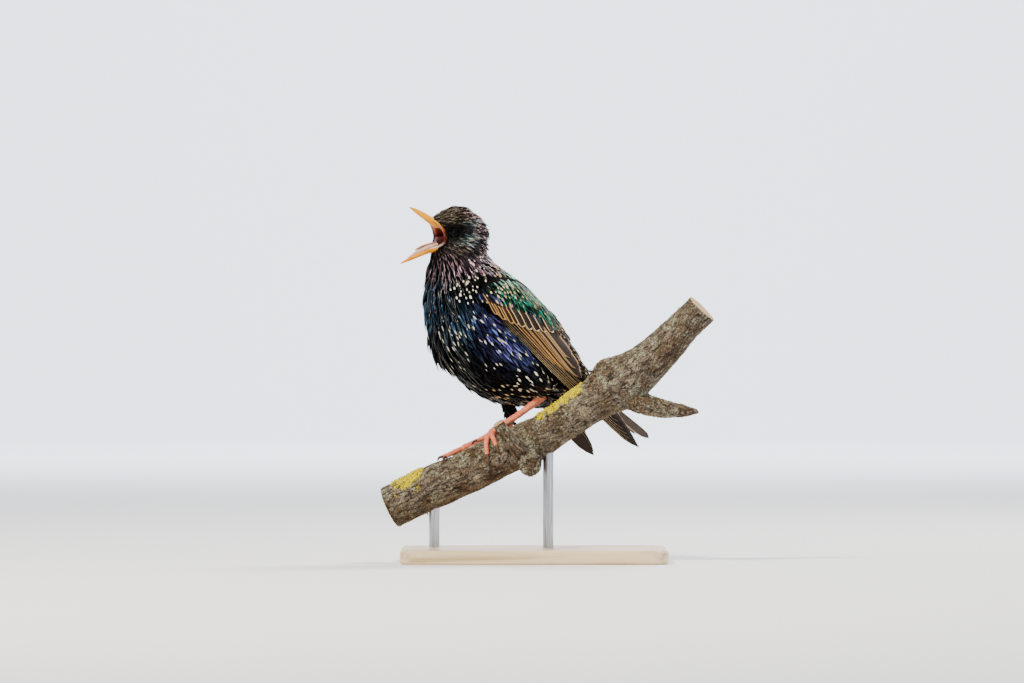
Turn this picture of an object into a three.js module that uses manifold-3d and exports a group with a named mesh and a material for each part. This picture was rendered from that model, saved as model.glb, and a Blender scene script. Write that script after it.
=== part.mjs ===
// A common starling in song, at life size, gripping a short cut length of branch that two rods hold over a
// flat display base. Millimetres, +Z up. The origin is the centre of the underside of the base.
// The bird is modelled in its own frame, +X towards its tail, +Y to its right, +Z up, and is then turned
// and set on the perch. A person facing the model along +Y sees the bird's left side.
import * as THREE from 'three';
import { mergeVertices } from 'three/addons/utils/BufferGeometryUtils.js';
import Module from 'manifold-3d';

const wasm = await Module();
wasm.setup();

// Sizes that drive the rest
const GAP = 0.3;
const VANE_THICKNESS = 0.5;
const BIRD_YAW = 23;
const BIRD_AT = new THREE.Vector3(-19.4, 5, 132.6);
const WING_LENGTH = 131.5;
const TAIL_LENGTH = 65;
const TAIL_PITCH = 40;
const TOE_RADIUS = 1.25;
const BASE = { length: 152, width: 112, thickness: 8, corner: 12, edge: 1.2 };
const ROD_RADIUS = 3;

const radians = THREE.MathUtils.degToRad;
const lerp = THREE.MathUtils.lerp;
const clamp = THREE.MathUtils.clamp;
const vector = (x, y, z) => new THREE.Vector3(x, y, z);

// Solids from geometry, and back

// A manifold solid of one closed geometry, with its faces turned outwards.
function solidOf(geometry) {
  const bare = new THREE.BufferGeometry().setAttribute('position', geometry.getAttribute('position'));
  bare.setIndex(geometry.index);
  const merged = mergeVertices(bare, 1e-4);
  const corners = [];
  const index = merged.index.array;
  for (let i = 0; i < index.length; i += 3) {
    const [a, b, c] = index.slice(i, i + 3);
    if (a !== b && b !== c && c !== a) corners.push(a, b, c);
  }
  const vertProperties = merged.attributes.position.array;
  const build = (triVerts) => new wasm.Manifold(new wasm.Mesh({ numProp: 3, vertProperties, triVerts }));
  const made = build(new Uint32Array(corners));
  if (made.volume() > 0) return made;
  for (let i = 0; i < corners.length; i += 3) [corners[i + 1], corners[i + 2]] = [corners[i + 2], corners[i + 1]];
  return build(new Uint32Array(corners));
}

function solidOfFaces(points, faces) {
  const geometry = new THREE.BufferGeometry();
  geometry.setAttribute('position', new THREE.Float32BufferAttribute(points.flatMap((p) => p.toArray()), 3));
  geometry.setIndex(faces.flat());
  return solidOf(geometry);
}

const joined = (solids) => wasm.Manifold.union(solids);

// Keeps the largest closed surface of a solid.
function largest(solid) {
  return solid.decompose().reduce((most, piece) => (piece.volume() > most.volume() ? piece : most));
}

function geometryOf(solid) {
  const { numProp, vertProperties, triVerts } = solid.getMesh();
  const points = [];
  for (let i = 0; i < vertProperties.length; i += numProp) points.push(...vertProperties.slice(i, i + 3));
  const geometry = new THREE.BufferGeometry();
  geometry.setAttribute('position', new THREE.Float32BufferAttribute(points, 3));
  geometry.setIndex(new THREE.BufferAttribute(triVerts, 1));
  geometry.computeVertexNormals();
  return geometry;
}

// Closed skin over rings of points. A ring of one point is a tip, and an open end is closed from its middle.
function loft(rings) {
  const points = [];
  const faces = [];
  const starts = rings.map((ring) => {
    points.push(...ring);
    return points.length - ring.length;
  });
  for (let i = 0; i + 1 < rings.length; i++) {
    const here = rings[i].length;
    const next = rings[i + 1].length;
    const count = Math.max(here, next);
    for (let j = 0; j < count; j++) {
      const k = (j + 1) % count;
      const a0 = starts[i] + (here === 1 ? 0 : j);
      const a1 = starts[i] + (here === 1 ? 0 : k);
      const b0 = starts[i + 1] + (next === 1 ? 0 : j);
      const b1 = starts[i + 1] + (next === 1 ? 0 : k);
      if (here > 1) faces.push([a0, a1, b0]);
      if (next > 1) faces.push([a1, b1, b0]);
    }
  }
  for (const end of [0, rings.length - 1]) {
    const ring = rings[end];
    if (ring.length === 1) continue;
    const middle = points.length;
    points.push(ring.reduce((sum, p) => sum.add(p), vector(0, 0, 0)).divideScalar(ring.length));
    ring.forEach((_, j) => {
      const pair = [starts[end] + j, starts[end] + ((j + 1) % ring.length)];
      faces.push(end === 0 ? [middle, pair[1], pair[0]] : [middle, pair[0], pair[1]]);
    });
  }
  return solidOfFaces(points, faces);
}

// A thin closed strip. Each station gives the points of its upper face from edge to edge, and a normal.
// Both faces are split into triangles alike, so that they never cross.
function strip(stations) {
  const columns = stations[0].top.length;
  const points = stations.flatMap(({ top, normal, thickness }) => [
    ...top,
    ...top.map((p) => p.clone().addScaledVector(normal, -thickness)),
  ]);
  const at = (i, j, under) => i * 2 * columns + under * columns + j;
  const faces = [];
  const last = stations.length - 1;
  for (let i = 0; i < last; i++) {
    for (let j = 0; j + 1 < columns; j++) {
      const [a, b, c, d] = [at(i, j, 0), at(i, j + 1, 0), at(i + 1, j + 1, 0), at(i + 1, j, 0)];
      faces.push([a, b, c], [a, c, d]);
      faces.push([a + columns, c + columns, b + columns], [a + columns, d + columns, c + columns]);
    }
    for (const j of [0, columns - 1]) {
      const [a, b, c, d] = [at(i, j, 0), at(i + 1, j, 0), at(i + 1, j, 1), at(i, j, 1)];
      faces.push(...(j ? [[a, c, b], [a, d, c]] : [[a, b, c], [a, c, d]]));
    }
  }
  for (let j = 0; j + 1 < columns; j++) {
    for (const i of [0, last]) {
      const [a, b, c, d] = [at(i, j, 0), at(i, j, 1), at(i, j + 1, 1), at(i, j + 1, 0)];
      faces.push(...(i ? [[a, c, b], [a, d, c]] : [[a, b, c], [a, c, d]]));
    }
  }
  return solidOfFaces(points, faces);
}

// A round tube through points, with a radius at each end or at each point.
function tube(path, radii, sides = 8, steps = 10) {
  const curve = new THREE.CatmullRomCurve3(path);
  const frames = curve.computeFrenetFrames(steps);
  const rings = [];
  for (let i = 0; i <= steps; i++) {
    const centre = curve.getPointAt(i / steps);
    const place = (i / steps) * (radii.length - 1);
    const low = Math.min(Math.floor(place), radii.length - 2);
    const radius = lerp(radii[low], radii[low + 1], place - low);
    rings.push(Array.from({ length: sides }, (_, j) => {
      const angle = (2 * Math.PI * j) / sides;
      return centre.clone()
        .addScaledVector(frames.normals[i], radius * Math.cos(angle))
        .addScaledVector(frames.binormals[i], radius * Math.sin(angle));
    }));
  }
  return loft(rings);
}

function ellipsoid(centre, x, y, z, across = 12, down = 8) {
  return solidOf(new THREE.SphereGeometry(1, across, down).scale(x, y, z).translate(...centre));
}

// The half of space on the side of a plane that its normal points to, as a large box.
function beyond(point, normal) {
  const size = 500;
  const turn = new THREE.Quaternion().setFromUnitVectors(vector(0, 0, 1), normal.clone().normalize());
  const box = new THREE.BoxGeometry(size, size, size).translate(0, 0, size / 2);
  return solidOf(box.applyQuaternion(turn).translate(...point));
}

// Forms that follow a line in the bird's middle plane

// A form is a list of sections, each [x, z, up, down, side]: a place in the middle plane, and the distances
// from it to the outline above, below and to either side. It runs so that "up" is the bird's back or crown.
class Form {
  constructor(sections, roundness = 2.15) {
    this.line = new THREE.CatmullRomCurve3(sections.map(([x, z]) => vector(x, 0, z)));
    this.sizes = new THREE.CatmullRomCurve3(sections.map(([, , up, down, side]) => vector(up, down, side)));
    this.power = 2 / roundness;
  }

  // The point at t along the form, 0 to 1, and at an angle from its back, positive to the bird's right.
  point(t, angle, grow = 0) {
    const middle = this.line.getPoint(t);
    const sizes = this.sizes.getPoint(t);
    const along = this.line.getTangent(t);
    const c = Math.cos(angle);
    const s = Math.sin(angle);
    const depth = (c > 0 ? sizes.x : sizes.y) + grow;
    const rise = Math.sign(c) * Math.abs(c) ** this.power * depth;
    const side = Math.sign(s) * Math.abs(s) ** this.power * (sizes.z + grow);
    return middle.add(vector(-along.z * rise, side, along.x * rise));
  }

  solid({ steps, sides, grow = 0, from = 0, to = 1, tip = false }) {
    const rings = [];
    for (let i = 0; i <= steps; i++) {
      const t = lerp(from, to, i / steps);
      rings.push(Array.from({ length: sides }, (_, j) => this.point(t, (2 * Math.PI * j) / sides, grow)));
    }
    if (tip) rings[0] = [this.line.getPoint(from)];
    return loft(rings);
  }
}

const TORSO = new Form([
  [-25, 52, 14.6, 15, 12],
  [-26, 41, 17.6, 16.3, 14.2],
  [-21, 23, 26, 26, 23.5],
  [-9.3, 4.6, 31.2, 34.6, 28],
  [5, -11.4, 29, 31, 28.5],
  [21.7, -24, 24.6, 22.6, 22],
  [38, -32, 17.4, 13, 15.5],
  [52, -38.5, 10.5, 8, 11],
  [61, -44, 6.5, 5, 9],
]);
const HEAD = new Form([
  [-43.6, 53, 8.5, 9, 5.5],
  [-41, 54, 11.3, 11, 8],
  [-36, 55, 14, 13.5, 10.4],
  [-30, 55, 16, 15, 12.2],
  [-24, 55, 15.6, 16, 12.8],
  [-18, 55, 13, 16, 12.4],
  [-13.2, 54, 9.4, 13.6, 10.4],
  [-10.4, 52.5, 5.6, 9, 7],
  [-9, 52, 2.6, 4, 3],
]);
const UPPER_BILL = new Form([
  [-56.2, 69.9, 0.2, 0.2, 0.2],
  [-54, 69.1, 0.6, 0.6, 0.7],
  [-49.7, 66.9, 1.4, 1.3, 1.6],
  [-46, 65.2, 1.8, 1.5, 2.3],
  [-43, 63.7, 2.1, 1.7, 3.2],
  [-40, 62.2, 2.3, 1.8, 4.2],
  [-37.5, 61, 2.2, 1.9, 4.6],
], 1.9);
const LOWER_BILL = new Form([
  [-61.8, 37.6, 0.2, 0.2, 0.2],
  [-59.5, 38.7, 0.6, 0.6, 0.8],
  [-55.5, 40.6, 1, 1.2, 1.7],
  [-51, 42.7, 1.2, 1.5, 2.5],
  [-46.5, 44.6, 1.3, 1.7, 3.3],
  [-42.5, 45.9, 1.3, 1.8, 4.1],
  [-39.5, 46.7, 1.3, 1.8, 4.6],
], 1.9);
const BILL_TROUGH = new Form([
  [-56, 41.6, 0.5, 0.3, 0.6],
  [-51, 44, 0.9, 1, 1.5],
  [-46.5, 46, 1.2, 1.2, 2.3],
  [-39, 48.6, 1.4, 1.3, 3],
]);
const TONGUE = new Form([
  [-52.5, 45.4, 0.3, 0.3, 0.5],
  [-50.5, 46.5, 0.6, 0.5, 1],
  [-47, 47.8, 0.8, 0.6, 1.6],
  [-43, 48.8, 0.9, 0.7, 2],
  [-38, 49.6, 1, 0.7, 2.2],
  [-29.3, 50.6, 1, 0.8, 1.8],
]);

// Where the bird is divided: each cut has a point in the middle plane and a direction towards the tail
const CUTS = {
  neck: { at: vector(-24, 0, 44.5), towards: vector(0.14, 0, -1) },
  breast: { at: vector(-21.5, 0, 17.5), towards: vector(0.62, 0, -0.78) },
  tail: { at: vector(47.5, 0, -36.5), towards: vector(0.8, 0, -0.6) },
};

const past = ({ at, towards }) => beyond(at.clone().addScaledVector(towards, GAP / 2 / towards.length()), towards);
const before = ({ at, towards }) => {
  const back = towards.clone().negate();
  return beyond(at.clone().addScaledVector(back, GAP / 2 / back.length()), back);
};

// Feathers

// Share of a vane's full half width at each share of its length, for a round tip and for a pointed one.
const ROUND_TIP = [[0, 0.6], [0.5, 1], [0.88, 0.9], [1, 0.4]];
const POINTED_TIP = [[0, 0.6], [0.55, 1], [0.9, 0.72], [1, 0.22]];
// For the middle pair of the tail, whose inner edges keep off the middle plane.
const NARROW_INNER = [[0, 0.24], [0.5, 0.4], [0.86, 0.5], [1, 0.2]];

// One feather laid on a surface. place(t, c, h) maps a distance along, a distance across and a height to a
// point. The feather's inner edge dips by tilt under its neighbour, which keeps the tiers apart.
function vane(place, { root, tip, half, height, tilt = 0, outline = ROUND_TIP, inner = Infinity }) {
  const along = new THREE.Vector2(tip[0] - root[0], tip[1] - root[1]);
  const direction = along.clone().normalize();
  const across = new THREE.Vector2(-direction.y, direction.x);
  const stations = outline.map(([share, width]) => {
    const middle = new THREE.Vector2(...root).addScaledVector(along, share);
    const offsets = [-half * width, 0, Math.min(half * width, inner)];
    const base = lerp(height[0], height[1], Math.min(1, share / 0.4));
    const top = offsets.map((offset) => {
      const at = middle.clone().addScaledVector(across, offset);
      return place(at.x, at.y, base - tilt * offset);
    });
    const normal = top[2].clone().sub(top[0]).cross(place(middle.x + 1, middle.y, base).sub(top[1])).normalize();
    const out = place(middle.x, middle.y, base + 1).sub(place(middle.x, middle.y, base));
    if (normal.dot(out) < 0) normal.negate();
    return { top, normal, thickness: VANE_THICKNESS };
  });
  return strip(stations);
}

// A pointed throat or breast feather that lies down the form and lifts off it towards its tip.
function lock(form, { t, angle, reach, turn, width, lift }) {
  const path = [[0, -1.6, 0.75], [0.6, 0.9 + lift * 0.35, 1], [1, 0.8 + lift, 0.14]];
  const stations = path.map(([share, height, wide]) => {
    const here = t + reach * share;
    const middle = angle + turn * share;
    const halfAngle = (width * wide) / 2 / form.sizes.getPoint(here).z;
    const top = [-1, 0, 1].map((edge) => form.point(here, middle + edge * halfAngle, height + (edge ? -0.35 : 0.1)));
    const normal = form.point(here, middle, height + 1).sub(form.point(here, middle, height)).normalize();
    return { top, normal, thickness: lerp(0.8, VANE_THICKNESS, share) };
  });
  return strip(stations);
}

// Rows of locks round the front of a form, staggered, from one side of the throat to the other.
function lockRows(form, rows) {
  return rows.flatMap(({ t, count, spread, reach, width, lift }, row) => Array.from({ length: count }, (_, i) => {
    const share = count === 1 ? 0 : (2 * i) / (count - 1) - 1;
    const swing = Math.sin(i * 2.4 + row * 1.7);
    return lock(form, {
      t: t + 0.004 * swing,
      angle: Math.PI + radians(spread) * share,
      reach: reach * (1 + 0.12 * swing),
      turn: radians(-3) * share,
      width,
      lift: lift * (1 - 0.45 * Math.abs(share)) * (1 + 0.25 * swing),
    });
  }));
}

// The folded wing

const WRIST = { x: -25, side: 21.5, z: 19.4 };
const WING_TIP = { x: 71.1, side: 30.5, z: -67.4 };
const WING_CURVE = { radius: 27, opening: 0.3, lean: radians(2) };
// Sections of the fleshy part and the feathers packed round it: [t, c of front edge, c of rear edge, height]
const WING_CORE = [
  [0.5, 3.2, 6.5, 2.4],
  [3, 0.6, 10, 4.4],
  [9, -0.6, 15, 4.8],
  [19, -0.8, 19.5, 4.4],
  [31, -0.3, 22.5, 3.6],
  [44, 0, 22, 2.6],
  [56, 0.6, 17.5, 1.6],
  [63, 2, 13.5, 0.8],
];
const CORE_DEPTH = 2.2;
const POCKET_DEPTH = CORE_DEPTH + GAP + 0.1;

// Maps distance t from the wrist towards the wing tip, distance c across from the leading edge, and height
// h out of the folded wing's surface, to a point in the bird's frame.
function wingSurface({ side, droop, slide }) {
  const wrist = vector(WRIST.x, WRIST.side, WRIST.z);
  const span = vector(WING_TIP.x, WING_TIP.side, WING_TIP.z).sub(wrist);
  const along = span.clone().normalize();
  const upward = vector(-along.z, 0, along.x);
  const outward = vector(0, 1, 0).addScaledVector(along, -along.y).normalize();
  const across = upward.addScaledVector(outward, -upward.dot(outward)).normalize();
  const turn = new THREE.Quaternion().setFromAxisAngle(vector(0, 1, 0), radians(droop));
  return (reach, c, h) => {
    const t = reach + slide;
    const radius = WING_CURVE.radius + WING_CURVE.opening * Math.max(0, t);
    const lean = WING_CURVE.lean + c / radius;
    const point = along.clone().multiplyScalar(t)
      .addScaledVector(across, radius * (Math.sin(lean) - Math.sin(WING_CURVE.lean)) + h * Math.sin(lean))
      .addScaledVector(outward, radius * (Math.cos(lean) - Math.cos(WING_CURVE.lean)) + h * Math.cos(lean));
    point.applyQuaternion(turn).add(wrist);
    return vector(point.x, side * point.y, point.z);
  };
}

function wingCore(place) {
  return loft(WING_CORE.map(([t, front, rear, height]) => {
    const wide = rear - front;
    const outline = [
      [front, 0.2], [front + 0.05 * wide, 0.72], [front + 0.2 * wide, 1], [front + 0.5 * wide, 1],
      [front + 0.82 * wide, 0.85], [rear, 0.2],
    ].map(([c, share]) => place(t, c, height * share));
    const under = [[rear - 0.04 * wide, 0.7], [front + 0.6 * wide, 1], [front + 0.25 * wide, 1], [front + 0.04 * wide, 0.7]]
      .map(([c, share]) => place(t, c, -CORE_DEPTH * share));
    return [...outline, ...under];
  }));
}

const WINGS = { left: { side: -1, droop: 0, slide: 0 }, right: { side: 1, droop: 2, slide: 2.6 } };
const PRIMARY = { count: 6, half: 3.8, tilt: 0.43, spacing: 1.9, height: 0.1 };
const SECONDARY = { half: 4.2, tilt: 0.3, height: 3.6, rise: 1.4 };
const COVERT = { count: 6, half: 3.2, tilt: 0.27, height: 5.6, rise: 0.6 };
const MEDIAN_COVERT = { count: 5, half: 2.9, tilt: 0.27, height: 6.9, rise: 0.3 };
const SCAPULAR = { count: 4, half: 4.4, tilt: 0.2, height: 8.1, rise: 1.6 };

// The flight feathers and coverts as [root, tip] places on the wing, from the leading edge inwards.
function wingFeathers(place) {
  const feathers = [];
  const lay = (root, tip, { half, tilt, height, rise }) => {
    feathers.push(vane(place, { root, tip, half, tilt, height: [height - rise, height] }));
  };
  for (let i = 0; i < PRIMARY.count; i++) {
    const end = WING_LENGTH - 1.5 * i - 0.9 * i * i;
    const c = 1.3 + PRIMARY.spacing * i;
    feathers.push(vane(place, {
      root: [47, c + 1], tip: [end, c], half: PRIMARY.half, height: [PRIMARY.height, PRIMARY.height],
      tilt: PRIMARY.tilt, outline: POINTED_TIP,
    }));
  }
  const secondaryTips = [[66, 3.6], [71, 6.6], [74.5, 9.8], [77.5, 13], [80, 15.9], [68, 18.8], [55, 21.6]];
  secondaryTips.forEach((tip, i) => lay([9 + 2 * i, 1.2 + 3.1 * i], tip, SECONDARY));
  // The greater coverts reach back from the wrist, longest near the body
  for (let i = 0; i < COVERT.count; i++) {
    const tip = [21 + 6.8 * i - 0.25 * i * i, 1.4 + 3.4 * i];
    lay([tip[0] - 21, tip[1] + 0.4], tip, COVERT);
  }
  for (let i = 0; i < MEDIAN_COVERT.count; i++) {
    const tip = [8 + 7.4 * i, 2.8 + 3.9 * i];
    lay([tip[0] - 10, tip[1] + 0.4], tip, MEDIAN_COVERT);
  }
  for (let i = 0; i < SCAPULAR.count; i++) {
    const tip = [17 + 9.4 * i, 9.4 + 4 * i];
    lay([tip[0] - 17, tip[1] + 1.5], tip, SCAPULAR);
  }
  for (const [end, c] of [[40, 0.2], [33, -0.9]]) {
    feathers.push(vane(place, {
      root: [12, c + 1.4], tip: [end, c], half: 1.7, height: [1.4, 1.8], tilt: 0.1, outline: POINTED_TIP,
    }));
  }
  return feathers;
}

const makeWing = (place) => largest(joined([wingCore(place), ...wingFeathers(place)]));

// The room that a wing takes out of the body's side, from just under the wing outwards.
function wingPocket(place) {
  const far = 30;
  const rings = [[-0.8, 2, 8], [3, -0.8, 13], [10, -2.2, 19], [20, -2.5, 24.5], [34, -2.6, 28], [50, -2.8, 27],
    [66, -3, 24], [80, -3.2, 21], [95, -3, 16]].map(([t, front, rear]) => {
    const floor = [0, 0.25, 0.5, 0.75, 1].map((share) => place(t, lerp(front, rear, share), -POCKET_DEPTH));
    return [...floor, place(t, rear, far), place(t, lerp(front, rear, 0.5), far), place(t, front, far)];
  });
  return loft(rings);
}

// The tail

const TAIL_ROOT = vector(38.6, 0, -18.9);
const TAIL = { pairs: 6, half: 5.6, fan: 2.1, root: 24, start: 0.9, drop: 0.58, tilt: 0.15, notch: 0.35 };
const TAIL_CORE = new Form([
  [44, -32.5, 14, 11, 14.5],
  [52, -38.5, 10.5, 8, 11.5],
  [58, -42, 6, 6.5, 9],
  [63, -44.5, 3.6, 4.6, 7.5],
  [67, -46.6, 2, 2.4, 6],
]);

// Maps distance s along the tail, distance y to the right, and height h above it, to the bird's frame.
function tailSurface(s, y, h) {
  const pitch = radians(TAIL_PITCH);
  return TAIL_ROOT.clone().add(vector(
    s * Math.cos(pitch) + h * Math.sin(pitch), y, -s * Math.sin(pitch) + h * Math.cos(pitch),
  ));
}

function tailFeathers() {
  const feathers = [];
  for (const side of [-1, 1]) {
    const place = (s, y, h) => tailSurface(s, side * y, h);
    for (let i = 0; i < TAIL.pairs; i++) {
      const angle = radians(TAIL.fan) * (i + 0.5);
      const length = TAIL_LENGTH - TAIL.notch * (TAIL.pairs - 1 - i);
      const middle = (s) => [s * Math.cos(angle), TAIL.start * (i + 0.5) + s * Math.sin(angle)];
      const height = -TAIL.drop * i;
      const root = middle(TAIL.root);
      const tip = middle(length);
      const half = i === 0 ? Math.min(TAIL.half, root[1] + tip[1]) : TAIL.half;
      feathers.push(vane(place, {
        root, tip, half, height: [height, height], tilt: -TAIL.tilt, outline: i ? ROUND_TIP : NARROW_INNER,
      }));
    }
  }
  return feathers;
}

// Legs and feet. Places are in the bird's frame.

const LEGS = {
  left: {
    side: -1,
    thigh: [vector(3, -19.5, -18), vector(11.5, -20.5, -27), vector(17.4, -20.4, -33), vector(20.1, -20, -36.6)],
    thighRadii: [9, 8, 5, 2.3],
  },
  right: {
    side: 1,
    thigh: [vector(7, 12, -26), vector(9, 10, -38), vector(9.4, 8, -47), vector(8.6, 6.6, -54)],
    thighRadii: [8, 5.6, 3.9, 2.2],
  },
};

// The perch. Places are in the model's own frame.

// Points of the middle of the branch, left to right, as [x, z, radius]. It comes forwards to the right.
const BRANCH = [
  [-82, 31, 12.3], [-67, 38, 12.4], [-53, 45, 12.3], [-41.5, 50, 12.2], [-29, 55.8, 12.1], [-17.5, 61.2, 12.2],
  [-6, 67, 12.4], [7, 74.3, 11.5], [18, 81.5, 11.1], [29, 88.6, 11.5], [40, 95.5, 12.6], [49, 101.5, 14],
  [60, 110, 13], [72, 120.5, 10.8], [84, 133.5, 9.6], [95, 145, 9.4],
];
const BRANCH_DEPTH = { at: -18.6, y: -8, slope: -0.22 };
const branchY = (x) => BRANCH_DEPTH.y + BRANCH_DEPTH.slope * (x - BRANCH_DEPTH.at);
const BRANCH_LINE = new THREE.CatmullRomCurve3(BRANCH.map(([x, z]) => vector(x, branchY(x), z)));
const BRANCH_RADII = new THREE.CatmullRomCurve3(BRANCH.map(([, , radius]) => vector(radius, 0, 0)));
const SADDLE = { centre: 46, reach: 9, height: 4.2 };

// A point on the branch at t, 0 to 1, and at an angle from its top, positive towards the viewer.
function branchPoint(t, angle, grow = 0) {
  const middle = BRANCH_LINE.getPoint(t);
  const along = BRANCH_LINE.getTangent(t);
  const up = vector(0, 0, 1).addScaledVector(along, -along.z).normalize();
  const front = up.clone().cross(along).normalize().negate();
  const swell = SADDLE.height * Math.exp(-(((middle.x - SADDLE.centre) / SADDLE.reach) ** 2))
    * Math.max(0, Math.cos(angle)) ** 3;
  const knobbly = 0.35 * Math.sin(3 * angle + 23 * t) + 0.25 * Math.sin(2 * angle - 41 * t);
  const radius = BRANCH_RADII.getPoint(t).x + swell + knobbly + grow;
  return middle.addScaledVector(up, radius * Math.cos(angle)).addScaledVector(front, radius * Math.sin(angle));
}

// The share of the branch's length at which its middle has a given x.
function branchAt(x) {
  let [low, high] = [0, 1];
  for (let i = 0; i < 30; i++) {
    const middle = (low + high) / 2;
    if (BRANCH_LINE.getPoint(middle).x < x) low = middle;
    else high = middle;
  }
  return (low + high) / 2;
}

function branchSolid(grow = 0) {
  const [steps, sides] = [28, 12];
  const rings = [];
  for (let i = 0; i <= steps; i++) {
    rings.push(Array.from({ length: sides }, (_, j) => branchPoint(i / steps, (2 * Math.PI * j) / sides, grow)));
  }
  return loft(rings);
}

function makePerch() {
  const at = (x, z, forward) => vector(x, branchY(x) - forward, z);
  const knot = tube([at(-3, 60, 4), at(-2.6, 57, 11), at(-2, 54.5, 17.5)], [7.6, 7.2, 6], 12, 4);
  const twigStub = tube(
    [at(-6, 61, 8), at(-9, 65, 15), at(-14.8, 71.5, 20.5), at(-20.5, 80, 24.5)], [5.6, 5, 3.9, 3.5], 10, 7,
  );
  const snag = tube(
    [at(50, 98, 0), at(60, 91.5, 1), at(72, 88.2, 2), at(84, 86.8, 2), at(93, 86.2, 2)], [9, 6.6, 5.6, 4, 1.2], 10, 9,
  );
  return joined([branchSolid(), knot, twigStub, snag]);
}

// Feet

// Each toe is a path over the bark: [millimetres along the branch, degrees round it], then its claw.
const FEET = {
  left: {
    at: -17.7,
    heel: vector(20.1, -20, -36.6),
    root: [0, 0],
    toes: [
      [[0, -2], [4.5, -9], [8.5, -7], [11, -4]],
      [[0, 0], [-4.5, -4], [-8.6, -6], [-11.5, -4]],
      [[0, 3], [-2.6, 26], [-4.6, 52], [-6, 76]],
      [[0, 4], [0.4, 28], [1.2, 50], [1.6, 66]],
    ],
  },
  right: {
    at: -35.4,
    heel: vector(8.6, 6.6, -54.4),
    root: [0, -20],
    toes: [
      [[0, -22], [4.5, -30], [8, -40], [10, -50]],
      [[0, -18], [-4.5, -2], [-8.4, 12], [-10.6, 24]],
      [[0, -20], [-5, -12], [-10, -3], [-13.6, 7]],
      [[0, -22], [-4.6, -31], [-9, -38], [-12, -44]],
    ],
  },
};
const TOE_RADII = [1.75, 1.4, 1.2, 1.2, 1];
const CLAW = { length: 4.6, radius: 0.85, lift: 1.6 };
const TARSUS_RADII = [2.1, 1.45, 1.3, 1.35, 1.9];

const birdToModel = new THREE.Matrix4().makeRotationZ(radians(BIRD_YAW)).setPosition(BIRD_AT);
const modelToBird = birdToModel.clone().invert();
const BRANCH_LENGTH = BRANCH_LINE.getLength();

// A place on the bark under a foot, lifted to a toe's middle, in the bird's frame.
function onBark(foot, [along, degrees], lift) {
  const t = branchAt(foot.at) + along / BRANCH_LENGTH;
  return branchPoint(t, radians(degrees), lift).applyMatrix4(modelToBird);
}

const toePath = (foot, toe) => toe.map((place) => onBark(foot, place, TOE_RADIUS + GAP + 0.25));

function makeFoot(foot) {
  const toes = foot.toes.map((toe) => tube(toePath(foot, toe), TOE_RADII, 7, 6));
  const ankle = onBark(foot, foot.root, TOE_RADIUS + GAP + 0.9);
  const bend = foot.heel.clone().lerp(ankle, 0.5).add(vector(0.5, 0, -0.4));
  const tarsus = tube([foot.heel, bend, ankle], TARSUS_RADII, 8, 6);
  const heel = ellipsoid(foot.heel, 2.3, 2, 2.3, 10, 8);
  const pad = ellipsoid(ankle, 2.3, 2.3, 1.9, 10, 8);
  return largest(joined([...toes, tarsus, heel, pad]));
}

// A claw carries on from its toe, arches off the bark and comes down to it at a fine point.
function makeClaw(foot, toe) {
  const path = toePath(foot, toe);
  const [previous, end] = path.slice(-2);
  const [s1, a1] = toe[toe.length - 2];
  const [s2, a2] = toe[toe.length - 1];
  const run = Math.hypot(s2 - s1, radians(a2 - a1) * BRANCH[3][2]);
  const next = (distance, lift) => {
    const share = distance / run;
    return onBark(foot, [s2 + (s2 - s1) * share, a2 + (a2 - a1) * share], lift);
  };
  const forward = end.clone().sub(previous).normalize();
  const root = end.clone().addScaledVector(forward, GAP);
  const { length, radius, lift } = CLAW;
  return tube(
    [root, next(length * 0.45, lift + 0.5), next(length * 0.8, lift - 0.3), next(length, 0.75)],
    [radius, radius * 0.85, radius * 0.55, 0.25], 6, 4,
  );
}

function makeThigh({ thigh, thighRadii }, body, foot) {
  const feathered = tube(thigh, thighRadii, 12, 8);
  return largest(feathered.subtract(body).subtract(foot));
}

// The head

// The open mouth from the side, as [x, z], cut right through the head in front of the corners of the gape.
const GAPE = [
  [-50, 68], [-45, 62.9], [-40.4, 60], [-37.9, 56.2], [-36.7, 52.4], [-37.6, 49.6], [-40.4, 47.8], [-45, 46.4], [-50, 44],
];
const THROAT = { at: vector(-36, 0, 53), x: 9, y: 5.6, z: 6 };
// The fleshy rim round each corner of the gape, from the upper bill to the lower one, as [x, y, z].
const GAPE_RIM = [
  [-42.8, 5.6, 61.4], [-40.1, 7.4, 59.7], [-37.8, 8.8, 56], [-36.9, 9.2, 52.5], [-37.8, 8.8, 49.5], [-40.3, 7.4, 47.6],
  [-43.2, 5.6, 46.4],
];
const RIM_RADII = [0.6, 0.8, 0.8, 0.8, 0.6];
const EYE = { at: vector(-32, 10, 55.4), radius: 3.1, lid: 0.55 };

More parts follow.
